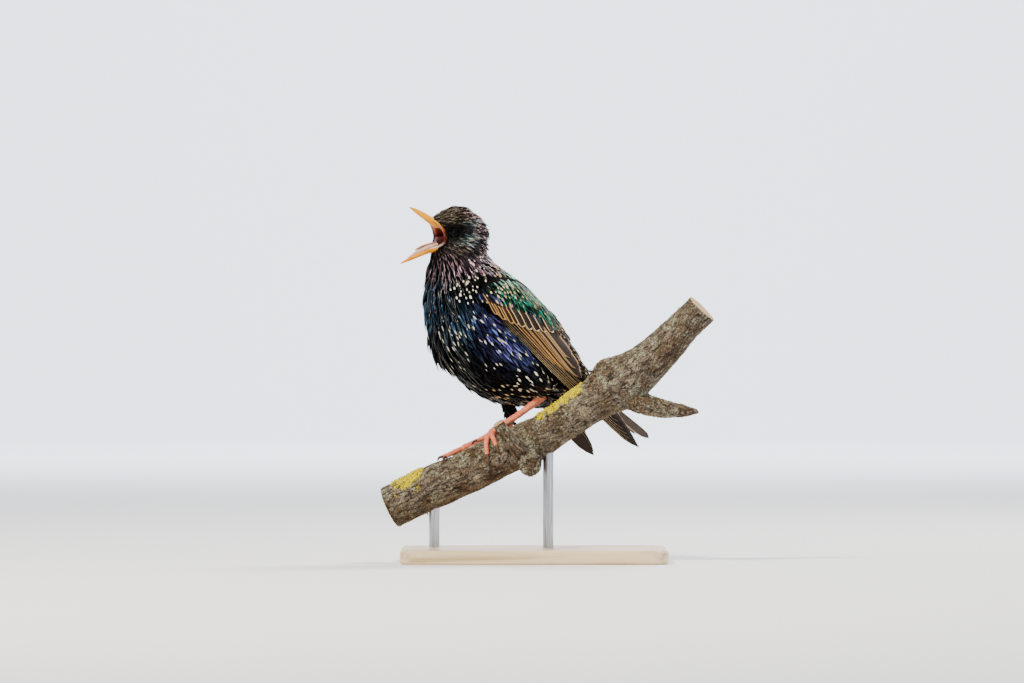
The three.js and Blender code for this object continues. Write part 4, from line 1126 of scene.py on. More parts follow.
def coat_plans():
    """What each piece of the coat grows.

    Sizes are in millimetres. spot is the length of the pale tip, and spotted the share of feathers with one.
    proud is how far the tips stand out, ragged how uneven that is, and sway how much the feathers turn aside.
    """
    spot_tone, buff = tones("spot", "buff")
    rosy, sandy, dusky = (np.array(srgb(text)[:3]) for text in ("#dcb4a8", "#a3967a", "#a08b8b"))
    crown = lambda p: ramp(p[:, 0], -36, -26)
    cheek = lambda p: ramp(-p[:, 2], -54, -49) * ramp(-p[:, 0], 18, 26)
    low = lambda p: ramp(-p[:, 2], 22, 30) * (1 - on_back(p))
    rear = lambda p: ramp(p[:, 0], -26, -12)
    neck = lambda p: ramp(p[:, 2], 18, 34)
    chest = lambda p: ramp(-p[:, 0], 34, 42)
    upper = lambda p: ramp(-p[:, 0], -6, 8)
    jaw = lambda p: near(mirrored(p), (-27, 12, 49), (8, 8, 5))
    dots = lambda p: near(mirrored(p), *DOTS)
    marks = lambda p: near(mirrored(p), *MARKS)
    masked = lambda p: (1.5 * near(mirrored(p), *MASK)).clip(0, 1)
    shaggy = lambda p: near(mirrored(p), (-43, 0, -10), (8, 12, 11))
    shank = lambda p: ramp(-p[:, 2], 36, 43) * ramp(-p[:, 0], -22, -14)
    tuft = lambda p: near(mirrored(p), (15.5, 20, -33), (6.5, 8, 5.5))
    return {
        "coat_head": {
            "shape": "lance", "spacing": lambda p: 1.15 - 0.3 * face(p), "ragged": 0.6, "sway": 0.2,
            "length": lambda p: 4.6 - 2.4 * face(p) + 0.8 * ramp(p[:, 0], -24, -14),
            "width": lambda p: 1.6 - 0.6 * face(p),
            "proud": lambda p: (1.0 - 0.7 * face(p)) * (1 - 0.8 * near(p, (-43, 0, 63), (6, 8, 6))),
            "quill": lambda p: (0.75 * (1 - crown(p)) + 0.5 * cheek(p)).clip(0, 1) * (1 - masked(p)),
            "spot": lambda p: (0.5 + 0.4 * crown(p)) * (1 - masked(p)),
            "spotted": lambda p: (0.35 + 0.6 * crown(p)) * (1 - 0.7 * jaw(p)),
            "tip": lambda p: between(between(sandy, rosy, crown(p)), 0.6 * dusky, cheek(p))},
        "coat_throat": {
            "shape": "lance", "spacing": 1.75, "length": lambda p: 8.5 + 3 * ramp(-p[:, 2], -36, -20),
            "width": 1.8, "proud": lambda p: 1.2 + 1.3 * ramp(-p[:, 0], 35, 43), "sway": 0.18, "ragged": 0.45,
            "quill": lambda p: 0.2 + 0.75 * neck(p), "spot": 1.3, "spotted": 0.5,
            "tip": lambda p: dusky * neck(p)[:, None] + spot_tone * ramp(-p[:, 2], -34, -18)[:, None]},
        "coat_nape": {
            "shape": "round", "spacing": 1.8, "length": 6, "width": lambda p: 2.1 + 0.3 * dots(p),
            "proud": lambda p: 1.0 - 0.1 * rear(p), "quill": 0.05,
            "spot": lambda p: 1.0 + 0.35 * dots(p), "spotted": lambda p: 0.6 + 0.35 * dots(p),
            "tip": lambda p: between(spot_tone, buff, rear(p))},
        "coat_breast": {
            "shape": "lance", "spacing": 2.0, "width": 2.9, "ragged": 0.45,
            "length": lambda p: 9 + 2 * ramp(-p[:, 2], 0, 12) + 3 * shaggy(p),
            "proud": lambda p: 1.1 + 0.9 * chest(p) + 2.2 * shaggy(p),
            "quill": lambda p: 0.25 * ramp(-p[:, 0], 28, 38), "spot": 2.2,
            "spotted": lambda p: 0.42 - 0.3 * ramp(-p[:, 2], -4, 6) * ramp(-p[:, 0], 18, 28),
            "tip": lambda p: spot_tone * 0.8 + 0 * p},
        "coat_belly": {
            "shape": "point", "spacing": 2.2, "ragged": 0.5, "quill": 0.0,
            "length": lambda p: 9.5 - 5.5 * shank(p) - 3 * tuft(p) + 3 * shaggy(p),
            "width": lambda p: 3.3 - 1.2 * shank(p),
            "proud": lambda p: 1.0 + (0.8 * ramp(-p[:, 2], 24, 34) + 2.4 * shaggy(p)) * (1 - shank(p)),
            "spot": lambda p: 1.7 + 0.9 * marks(p) - 0.5 * tuft(p),
            "spotted": lambda p: (0.02 + 0.5 * marks(p) + 0.75 * low(p)) * (1 - shank(p)) + 0.6 * tuft(p),
            "tip": lambda p: between(spot_tone, buff, low(p) * (1 - marks(p)) * (1 - tuft(p)))},
        "coat_back": {
            "shape": "point", "spacing": lambda p: 2.1 - 0.3 * upper(p), "length": 10, "quill": 0.15,
            "width": lambda p: 3.5 - 0.6 * upper(p), "proud": lambda p: 0.6 - 0.4 * ramp(p[:, 0], 34, 46),
            "spot": lambda p: 1.4 + 0.4 * upper(p), "spotted": lambda p: 0.6 + 0.4 * upper(p),
            "tip": lambda p: buff * 1.25 + (spot_tone - buff) * 0.4 * upper(p)[:, None]},
    }


def ground_of(piece):
    """A piece's surface, for finding where feathers come to rest, in the bird's frame."""
    faces = [tuple(face.vertices) for face in piece.data.polygons]
    return BVHTree.FromPolygons([Vector(p) for p in in_bird(points_of(piece.data))], faces)


class STARLING_OT_coat(PieceOperator, bpy.types.Operator):
    """Grow the small feathers of the head, neck, breast, back and belly over the skin"""
    bl_idname = "starling.coat"
    bl_label = "Coat"

    def execute(self, context):
        sizes = context.scene.starling_sizes
        skin = bpy.data.objects["skin"]
        ground = ground_of(skin)
        for i, (name, plan) in enumerate(coat_plans().items()):
            seed = sizes.seed + 10 * i
            gap = plan["spacing"]
            spacing = lambda p: (gap(p) if callable(gap) else np.full(len(p), gap)) * sizes.spacing
            grows = lambda p: (part_at(p) == name) & ~bare(p)
            places, normals, unwrap = scattered(skin, spacing, grows, seed)
            roots = feather_roots(places, normals, unwrap, coat_lie(places, normals), ground, plan, seed)
            coat = lay_coat(name, roots, plan["shape"], shared(GLOSS, body_feather_material))
            finish_piece(coat, [])
        return {"FINISHED"}


def vane(name, place, root, tip, half, height, tilt, outline, thickness, rows=22, columns=9, rise=0.4):
    """One large feather: a thin closed mesh, thickest at its shaft, with its place on the vane as UV."""
    root, tip = np.array(root, float), np.array(tip, float)
    span = tip - root
    ahead = span / np.linalg.norm(span)
    side = np.array([-ahead[1], ahead[0]])
    shares = np.linspace(0, 1, rows) ** 0.9
    shares[-1] = 1
    widths = np.interp(shares, *np.array(outline).T)
    widths = widths * np.minimum(1, np.sqrt(np.maximum(0, 1 - shares)) * 3.2 + 0.06)
    across = np.linspace(-1, 1, columns)
    offset = half * widths[:, None] * across[None]
    at = root + span * shares[:, None, None] + side * offset[..., None]
    base = height[0] + (height[1] - height[0]) * np.minimum(1, shares / rise)
    top_h = base[:, None] - tilt * offset - 0.05 * half * across[None] ** 2
    shaft = 0.22 * np.exp(-(across / 0.12) ** 2)[None] * (1 - 0.8 * shares[:, None])
    thick = thickness * (1 - np.abs(across[None]) ** 3)
    top, under = (in_model(place(at[..., 0], at[..., 1], h)) for h in (top_h + shaft, top_h - thick))
    uv = np.stack(np.broadcast_arrays((across[None] + 1) / 2, shares[:, None]), -1).reshape(-1, 2)
    made = thin_mesh(name, top, under, uv, columns)
    face_outwards(made)
    return made


BLUNT = [(0, 0.55), (0.35, 0.95), (0.8, 1.0), (0.93, 0.85), (1, 0.5)]
POINTED = [(0, 0.6), (0.4, 1.0), (0.85, 0.97), (0.95, 0.8), (1, 0.5)]


def wing_top(t, c):
    """Height of the wing's flesh and down, which swells under the shoulder feathers and sinks behind."""
    t, c = np.broadcast_arrays(np.asarray(t, float), np.asarray(c, float))
    front, rear = (np.interp(t, WING_CORE[:, 0], WING_CORE[:, k]) for k in (1, 2))
    shoulder = ramp(c - np.interp(t, SHOULDER[:, 0], SHOULDER[:, 1]), -2.5, 1.5) * ramp(-t, -54, -38)
    height = 0.9 + 0.6 * ramp(c - front, 0, 3) + 3.8 * shoulder * ramp(t, -2, 9)
    edge = np.interp(t, SCALY[:, 0], SCALY[:, 1])
    height = np.maximum(height, 1.5 + 1.7 * ramp(c - edge, -0.5, 0.8) * ramp(t, 40, 48))
    return height + (np.interp(t, REAR_HEIGHT[:, 0], REAR_HEIGHT[:, 1]) - height) * ramp(c - rear, -15, 0)


def wing_core(name, place):
    """The wing's flesh and down under the feathers, as one closed piece."""
    rings = []
    for t in np.linspace(WING_CORE[0, 0], WING_CORE[-1, 0], 40):
        front, rear = (np.interp(t, WING_CORE[:, 0], WING_CORE[:, k]) for k in (1, 2))
        c = front + (rear - front) * np.linspace(0, 1, 22)
        over = place(t, c, wing_top(t, c) * np.minimum(1, 0.2 + np.linspace(0, 4, 22)))
        c = rear - (rear - front) * np.linspace(0.04, 0.96, 10)
        rings.append(np.vstack([over, place(t, c, -CORE_DEPTH + 0 * c)]))
    return loft(name, rings)


def shoulder_colour(surface):
    """Gloss of the shoulder: emerald, blue-violet along the lower border near the wrist, brown behind."""
    def tint(points):
        emerald, indigo, umber, soot = tones("emerald", "indigo", "umber", "soot")
        local = surface.local(points)
        t, across = local @ surface.along - surface.slide, local @ surface.across
        border = ramp(np.interp(t, SHOULDER[:, 0], SHOULDER[:, 1]) - across, -6, -3.5) * ramp(-t, -46, -34)
        shade = between(emerald * 0.7, indigo * 0.8, border)
        shade = between(shade, soot, 0.6 * ramp(-t, -7, -1))
        shade = between(shade, umber * 1.6, ramp(t, 38, 48))
        return shade * (1 + 1.1 * wander(points, 5.0, 3)[:, None]).clip(0.1, 2)
    return tint


def shoulder_coat(name, surface, core, seed):
    """Scapulars and lesser coverts in staggered rows over the shoulder's swell, and scaly rows behind."""
    random = np.random.default_rng(seed)
    rows, columns = np.meshgrid(np.arange(0.5, 80, 2.1), np.arange(0, 34, 1.9), indexing="ij")
    stagger = 0.95 * (np.arange(len(rows)) % 2)[:, None]
    t = (rows + random.normal(0, 0.3, rows.shape)).ravel()
    c = (columns + stagger + random.normal(0, 0.25, rows.shape)).ravel()
    rear = np.interp(t, WING_CORE[:, 0], WING_CORE[:, 2])
    border = np.maximum(np.interp(t + 4.5, SHOULDER[:, 0], SHOULDER[:, 1]), 0)
    border = np.where(t > 44, np.interp(t + 2, SCALY[:, 0], SCALY[:, 1]), border)
    border = np.where(t < 8, np.interp(t, [0, 2, 4, 8], [1.6, 0.8, 1.6, 5.5]), border)
    kept = (c > border + 0.4) & (c < rear - 0.4)
    t, c = t[kept], c[kept]
    at = lambda a, b: surface.at(a, b, wing_top(a, b))
    places = at(t, c)
    down, over = at(t + 0.1, c) - places, at(t, c + 0.1) - places
    normals = unit(np.cross(down, over)) * -surface.side
    lie = unit(unit(down) - (0.3 - 0.2 * ramp(t, 30, 50))[:, None] * unit(over))
    run = lambda p: surface.local(p) @ surface.along
    small = lambda p: ramp(-run(p), -20, -8)
    behind = lambda p: ramp(run(p), 40, 48)
    pale = [np.array(srgb(text)[:3]) for text in ("#e3c797", "#c9ae8a")]
    plan = {
        "length": lambda p: 10 - 4 * small(p) - 3 * behind(p), "sway": 0.12, "tint": shoulder_colour(surface),
        "width": lambda p: 3.3 - 0.4 * small(p) + 0.8 * behind(p), "proud": 0.7,
        "quill": lambda p: 0.15 - 0.15 * behind(p), "spot": lambda p: 1.5 - 0.3 * behind(p),
        "spotted": lambda p: 0.6 + 0.35 * np.maximum(behind(p), small(p)),
        "tip": lambda p: between(*pale, behind(p))}
    unwrap = np.column_stack([0.02 + t / 90, 0.02 + c / 38])
    roots = feather_roots(places, normals, unwrap, lie, ground_of(core), plan, seed)
    roots["sheen"] = 1 - 0.85 * behind(places)
    finish_piece(lay_coat(name, roots, "point", shared(GLOSS, body_feather_material)), [])
# Feathers of the folded wing as places of root and tip, [along the wing, in from its front edge], and heights
def primaries():
    for i in range(9):
        end, c = WING_LENGTH - 1.1 * i - 0.42 * i * i, 1.5 + 1.05 * i
        yield (16 + i, c + 0.6), (end, c - 0.1 * i), 3.7, (1.3, 0.1), 0.36, POINTED


SECONDARY_TIPS = [(64, 4.6), (66.5, 5.2), (69, 5.7), (71.5, 6.2), (74, 6.8), (76, 7.5)]
TERTIAL_TIPS = [(78.5, 7.4), (74, 9.4), (67, 11.6)]
COVERT_TIPS = [
    (16.5, 0.2), (19.2, 0.6), (21.8, 1.2), (24.4, 1.9), (27.2, 2.7), (30.2, 3.7), (33.6, 5.1), (37.6, 7.2),
    (41.8, 9.4), (45.6, 11.9), (48.8, 14.8),
]


def secondaries():
    for i, tip in enumerate(SECONDARY_TIPS):
        yield (16 + i, 7.2 + 1.6 * i), tip, 3.9, (2.2, 3.2), 0.34, BLUNT


def tertials():
    for i, tip in enumerate(TERTIAL_TIPS):
        yield (26 + 2 * i, 15 + 1.6 * i), tip, 3.6, (2.6, 3.6 + 0.2 * i), 0.3, BLUNT


def greater_coverts():
    for i, tip in enumerate(COVERT_TIPS):
        long = 14 + 0.35 * i
        yield (tip[0] - long, tip[1] + 0.3 * long + 0.12 * i), tip, 1.7 + 0.14 * i, (2.4, 4.5), 0.42, BLUNT


class STARLING_OT_wings(PieceOperator, bpy.types.Operator):
    """Build both folded wings from their primaries, secondaries, tertials, coverts and shoulder feathers"""
    bl_idname = "starling.wings"
    bl_label = "Wings"

    def execute(self, context):
        sizes = context.scene.starling_sizes
        thickness = sizes.vane_thickness / MM
        brown = ("#2c2018", "#1e150f", "#0a0604")
        near_tip = (0.87, 0.96)
        primary = flight_material("primary_feather_keratin", ("#a07c4c", "#d2b88c"), brown, 0.472, fade=0.8)
        secondary = flight_material("secondary_feather_keratin", ("#a87434", "#d8ae70"), brown, 0.448)
        tertial = flight_material("tertial_feather_keratin", ("#8f6f4e", "#dcc094"),
                                  ("#30261f", "#221a15", "#0e0906"), 0.36)
        outer = flight_material("outer_covert_keratin", ("#b87e3c", "#e6c488"), brown, 0.39,
                                tip_band=near_tip)
        covert = flight_material("covert_feather_keratin", ("#d8b478", "#f4e2b8"),
                                 ("#362c28", "#272020", "#0c0806"), 0.42, tip_band=near_tip)
        random = np.random.default_rng(sizes.seed + 90)
        for name in SIDES:
            surface = WingSurface(name)
            core = wing_core(f"wing_core_{name}", surface.at)
            core.data.materials.append(shared("feather_base_down", skin_material))
            shoulder_coat(f"coat_shoulder_{name}", surface, core, sizes.seed + 70)
            pieces = [core]
            for rows, material in ((primaries, primary), (secondaries, secondary), (tertials, tertial),
                                   (greater_coverts, covert)):
                for i, (root, tip, half, height, tilt, outline) in enumerate(rows()):
                    uneven = random.normal(0, 0.22, 2)
                    feather = vane(rows.__name__, surface.at, root + uneven[::-1], tip + uneven, half, height,
                                   tilt, outline, thickness)
                    feather.data.materials.append(outer if material is covert and i < 6 else material)
                    pieces.append(feather)
            finish_piece(joined(f"wing_feathers_{name}", pieces), [f"wing_{name}"])
        return {"FINISHED"}


class STARLING_OT_tail(PieceOperator, bpy.types.Operator):
    """Build the twelve tail feathers"""
    bl_idname = "starling.tail"
    bl_label = "Tail"

    def execute(self, context):
        thickness = context.scene.starling_sizes.vane_thickness / MM
        material = flight_material("tail_feather_keratin", ("#8a6742", "#d0ac7e"),
                                   ("#402b1d", "#2e1f15", "#170e09"), 0.465)
        feathers = []
        for side in (-1, 1):
            place = lambda s, y, h: tail_surface(s, side * np.asarray(y), h)
            for i in range(TAIL["pairs"]):
                angle = TAIL["fan"] * (i + 0.5)
                long = TAIL["length"] - TAIL["notch"] * (TAIL["pairs"] - 1 - i)
                ends = [(s * math.cos(angle), TAIL["start"] * (i + 0.5) + s * math.sin(angle))
                        for s in (TAIL["root"], long)]
                height = -TAIL["drop"] * i
                feathers.append(vane("rectrix", place, *ends, TAIL["half"] if i else 3.2, (height, height),
                                     -TAIL["tilt"], BLUNT, thickness))
        tail = joined("tail_feathers", feathers)
        finish_piece(tail, ["tail"], material)
        return {"FINISHED"}


class STARLING_OT_bill(PieceOperator, bpy.types.Operator):
    """Build the open bill, the tongue and the edges of the gape"""
    bl_idname = "starling.bill"
    bl_label = "Bill"

    def execute(self, context):
        yellow = context.scene.starling_colours.bill
        # Horn is dull and evenly yellow, the floor of the bill is pale, and the tongue is a moist dark pink
        horn = plain_material("bill_horn_satin", yellow, shaded(yellow, (0.85, 0.66, 0.3)), 0.42, 160, 0.05)
        flesh = plain_material("tongue_flesh_moist", srgb("#a8705f"), srgb("#7d4638"), 0.4, 300)
        inner = plain_material("bill_floor_flesh", srgb("#cfae9c"), srgb("#b98a74"), 0.45, 250)
        upper = loft("bill_upper_horn", UPPER_BILL.rings(24, 24))
        finish_piece(upper, ["bill_upper"], horn)
        lower = loft("bill_lower_horn", LOWER_BILL.rings(24, 24))
        floor = loft("bill_floor", BILL_FLOOR.rings(20, 20))
        lower.data.materials.append(horn)
        floor.data.materials.append(inner)
        finish_piece(joined("bill_lower_horn", [lower, floor]), ["bill_lower"])
        tongue = loft("tongue_flesh", TONGUE.rings(16, 16))
        finish_piece(tongue, ["tongue"], flesh)
        rims = []
        for side in (-1, 1):
            path = np.array(GAPE_RIM) * [1, side, 1]
            rims.append(tube("gape_rim", path, (0.35, 0.5, 0.42, 0.3, 0.3, 0.55, 0.6, 0.5, 0.35), 10, 30))
            # Thin skin from that edge back to the cheek
            edge = Line(path[1:8]).at(np.linspace(0, 1, 24))
            back = np.array([1.9, -0.4 * side, 0])
            thick = np.array([0, 0.2 * side, 0])
            sheet = [np.array([p, p + back * 0.5 + thick, p + back, p + back * 0.5 - thick]) for p in edge]
            rims.append(loft("gape_skin", sheet))
        rim = joined("gape_rims", rims)
        # Yellow along the edges of the bill, flesh-coloured at the side, whitish at the corner of the mouth
        finish_piece(rim, [], level_material("gape_skin_moist", 0.4, [
            (44, "#d39700"), (45.8, "#c08a20"), (46.8, "#c4aa98"), (48.8, "#8a6a58"), (50.2, "#3c1a12"),
            (55.5, "#5c2410"), (58.5, "#a0600e"), (62, "#d39700")]))
        return {"FINISHED"}


class STARLING_OT_eyes(PieceOperator, bpy.types.Operator):
    """Build the eyes and their lids"""
    bl_idname = "starling.eyes"
    bl_label = "Eyes"

    def execute(self, context):
        # A wet black ball, with only a small highlight, inside a ring of dull black skin
        glass, tree, shader = new_material("eye_glass_dark")
        wire(tree, shader, {"Base Color": srgb("#030202"), "Roughness": 0.12, "Specular IOR Level": 0.05})
        lid_skin = plain_material("eyelid_skin_matt", srgb("#050404"), srgb("#0b0908"), 0.8, 600)
        count, sides = 24, 8
        turn = np.linspace(0, 2 * math.pi, sides, endpoint=False)[:, None]
        for name, side in SIDES.items():
            centre = np.array(EYE["at"]) * [1, side, 1]
            eye = ball(f"eyeball_{name}", centre, [EYE["radius"]] * 3)
            finish_piece(eye, [f"eye_{name}"], glass)
            rings = []
            for a in np.linspace(0, 2 * math.pi, count, endpoint=False):
                radial = np.array([math.cos(a), 0, math.sin(a)])
                middle = centre + radial * (EYE["radius"] - 0.3) + [0, side * 0.9, 0]
                rings.append(middle + 0.32 * (np.cos(turn) * radial + np.sin(turn) * np.array([0, 1, 0])))
            faces = [(i * sides + j, i * sides + (j + 1) % sides, (i + 1) % count * sides + (j + 1) % sides,
                      (i + 1) % count * sides + j) for i in range(count) for j in range(sides)]
            lid = new_object(f"eyelid_{name}", in_model(np.vstack(rings)), faces)
            face_outwards(lid)
            finish_piece(lid, [], lid_skin)
        return {"FINISHED"}


FEET = {
    "left": {
        "at": -17.7, "heel": (20.1, -20, -36.6), "root": (0, 0),
        "toes": [
            [(0, -2), (4.5, -9), (8.5, -7), (11, -4)],
            [(0, 0), (-4.5, -4), (-8.6, -6), (-11.5, -4)],
            [(0, 3), (-2.6, 26), (-4.6, 52), (-6, 76)],
            [(0, 4), (0.4, 28), (1.2, 50), (1.6, 66)],
        ],
    },
    "right": {
        "at": -35.4, "heel": (8.6, 6.6, -54.4), "root": (0, -20),
        "toes": [
            [(0, -22), (4.5, -30), (8, -40), (10, -50)],
            [(0, -18), (-4.5, -2), (-8.4, 12), (-10.6, 24)],
            [(0, -20), (-5, -12), (-10, -3), (-13.6, 7)],
            [(0, -22), (-4.6, -31), (-9, -38), (-12, -44)],
        ],
    },
}
TOE_RADIUS = 1.25
CLAW_RADII = (0.85, 0.72, 0.47, 0.12)


def on_bark(foot, place, lift):
    """A place on the bark under a foot, in the bird's frame."""
    t = branch_at(foot["at"]) + place[0] / BRANCH_LENGTH
    return in_bird(branch_surface([t], [math.radians(place[1])], lift) * MM)[0]


class STARLING_OT_feet(PieceOperator, bpy.types.Operator):
    """Build the scaly legs, the toes that grip the bark, and the claws"""
    bl_idname = "starling.feet"
    bl_label = "Feet"

    def execute(self, context):
        leg = context.scene.starling_colours.leg
        # Soft scaly skin in two pinks, and dark horn that shines a little more
        skin = plain_material("leg_scale_skin", leg, shaded(leg, (0.72, 0.52, 0.45)), 0.5, 700)
        horn = plain_material("claw_horn", srgb("#3c2a22"), srgb("#5a4334"), 0.35, 500)
        for name, foot in FEET.items():
            pieces = []
            for i, toe in enumerate(foot["toes"]):
                path = [on_bark(foot, p, TOE_RADIUS + 0.55) for p in toe]
                pieces.append(tube("toe", path, (1.8, 1.45, 1.25, 1.0), 14, 54, scales=9))
                (s1, a1), (s2, a2) = toe[-2:]
                run = math.hypot(s2 - s1, math.radians(a2 - a1) * BRANCH_RADIUS)
                onward = [on_bark(foot, (s2 + (s2 - s1) * d / run, a2 + (a2 - a1) * d / run), lift)
                          for d, lift in ((2.07, 2.1), (3.68, 1.3), (4.6, 0.75))]
                claw = tube(f"claw_horn_{name}_{i + 1}", [path[-1], *onward], CLAW_RADII, 12, 14)
                finish_piece(claw, [f"claw_{name}_{i + 1}"], horn)
            ankle = on_bark(foot, foot["root"], TOE_RADIUS + 1.2)
            heel = np.array(foot["heel"], float)
            bend = (heel + ankle) / 2 + [0.5, 0, -0.4]
            pieces.append(tube("tarsus", [heel, bend, ankle], (2.3, 1.75, 2.0), 18, 72, scales=9))
            pieces.append(ball("heel", heel, (2.3, 2, 2.3), across=20, down=12))
            pieces.append(ball("pad", ankle, (2.3, 2.3, 1.9), across=20, down=12))
            finish_piece(joined(f"foot_skin_{name}", pieces), [f"foot_{name}"], skin)
        return {"FINISHED"}


def in_metres(points):
    return np.asarray(points, float).reshape(-1, 3) * MM


def on_limb(x, z, forward):
    return (x, branch_y(x) - forward, z)


# Limbs of the perch beside the branch itself: places, radii
LIMBS = {
    "knot": ([on_limb(-3, 60, 4), on_limb(-2.6, 57, 11), on_limb(-2, 54.5, 17.5)], (7.6, 7.2, 6)),
    "twig": ([on_limb(-6, 61, 8), on_limb(-9, 65, 15), on_limb(-14.8, 71.5, 20.5), on_limb(-20.5, 80, 24.5)],
             (5.6, 5, 3.9, 3.5)),
    "snag": ([on_limb(50, 98, 0), on_limb(60, 91.5, 1), on_limb(72, 88.2, 2), on_limb(84, 86.8, 2),
              on_limb(93, 86.2, 2)], (9, 6.6, 5.6, 4, 1.2)),
}
# Crusts of yellow lichen on the top of the branch: from x to x in millimetres, and share of the bark covered
CRUSTS = [(-2, 31, 0.75), (-84, -60, 0.6)]


def limb_places(points):
    """Distance along the nearest limb, the two places across it, and which limb, for points in mm."""
    shares = np.linspace(0, 1, 160)
    lines = [BRANCH_LINE] + [Line(path) for path, _ in LIMBS.values()]
    middles = np.vstack([line.at(shares) for line in lines])
    ways = np.vstack([line.along(shares) for line in lines])
    steps = [np.linalg.norm(np.diff(line.at(shares), axis=0), axis=1) for line in lines]
    runs = np.concatenate([np.concatenate([[0], np.cumsum(step)]) for step in steps])
    tree = KDTree(len(middles))
    for i, middle in enumerate(middles):
        tree.insert(middle, i)
    tree.balance()
    nearest = np.array([tree.find(p)[1] for p in points])
    way, gap = ways[nearest], points - middles[nearest]
    up = unit(np.array([0, 0, 1]) - way * way[:, 2:])
    front = -np.cross(up, way)
    return runs[nearest], (gap * front).sum(1), (gap * up).sum(1), nearest // len(shares)


def bark_relief(points, seed):
    """Height of the bark in millimetres at each point, and its cracks, yellow crust, grey cover and rings."""
    run, front, up, limb = limb_places(points)
    place = np.column_stack([run / 8 + 9 * limb, front / 2.1, up / 2.1])
    wavy = wander(points, 5.0, seed)
    first = wander(place + 0.25 * wavy[:, None], 1.0, seed + 1)
    second = wander(place * [1.4, 2.1, 2.1], 1.0, seed + 2)
    across = wander(np.column_stack([run / 2.2, front / 7, up / 7]), 1.0, seed + 3)
    crack = np.maximum.reduce([np.exp(-(first / 0.1) ** 2), 0.7 * np.exp(-(second / 0.12) ** 2),
                               0.6 * np.exp(-(across / 0.07) ** 2) * ramp(wavy, 0, 0.3)])
    grain = wander(points, 0.9, seed + 4)
    top = np.exp(-((np.degrees(np.arctan2(front, up)) - 16) / 46) ** 2) * (limb == 0)
    patch = wander(points, 3.6, seed + 5) + 0.35 * grain
    crust = np.zeros(len(points))
    for low, high, cover in CRUSTS:
        inside = ramp(points[:, 0], low, low + 6) * ramp(-points[:, 0], -high, 6 - high)
        crust = np.maximum(crust, ramp(patch + 2.2 * (cover * top * inside) - 0.85, 0, 0.12))
    leafy = 0.7 * wander(points, 5.0, seed + 6) + 0.5 * wander(points, 1.8, seed + 8)
    grey_cover = 0.8 * ramp(leafy + 0.3 * grain + 0.3 * ramp(up, -4, 8), 0.2, 0.5) * (1 - crust)
    lumps = wander(points, 11.0, seed + 7)
    height = (-crack * (1 - 0.8 * crust) + 0.5 * lumps + 0.22 * grain
              + crust * (0.9 + 1.3 * grain) + 0.25 * grey_cover * (0.6 + grain))
    marks = {"crack": crack * (1 - crust), "crust": crust, "leafy": grey_cover, "ring": np.hypot(front, up)}
    return height, marks


def bark_material(settings):
    """Rough grey-brown bark with dark cracks, a crust of yellow lichen, and grey-green lichen, all matt. The
    dark of the cracks is partly the bark's own colour and partly painted shade.
    """
    material, tree, shader = new_material("bark_rough_lichen")
    bark, lichen = settings.bark[:], settings.lichen[:]
    broad, fine = (cloud(tree, object_place(tree), *sizes) for sizes in ((90.0, 5.0), (1400.0, 3.0)))
    dark, brown, pale = (shaded(bark, weights) for weights in ((0.45, 0.36, 0.3), (0.95, 0.8, 0.62),
                                                               (1.9, 1.85, 1.6)))
    tone = toned(tree, broad, [(0.3, dark), (0.44, brown), (0.56, bark), (0.7, pale)])
    tone = blend(tree, 1.0, tone, spread(tree, fine, 0.35, 0.68, 0.3, 1.7), "MULTIPLY")
    green = toned(tree, fine, [(0.38, srgb("#4a483a")), (0.52, srgb("#85846c")), (0.66, srgb("#b5b49c"))])
    gold = toned(tree, fine, [(0.42, shaded(lichen, (0.15, 0.13, 1))), (0.5, lichen),
                              (0.64, shaded(lichen, (1.4, 1.4, 1)))])
    # Near black in the cracks: partly the bark's own darker colour, partly painted shade in the recesses
    for name, cover in (("leafy", green), ("crack", srgb("#1d150f")), ("crust", gold)):
        tone = blend(tree, stored(tree, name), tone, cover)
    wire(tree, shader, {"Base Color": tone, "Normal": bumps(tree, fine, 0.7, 0.0004), "Roughness": 0.88,
                        "Specular IOR Level": 0.2})
    return material


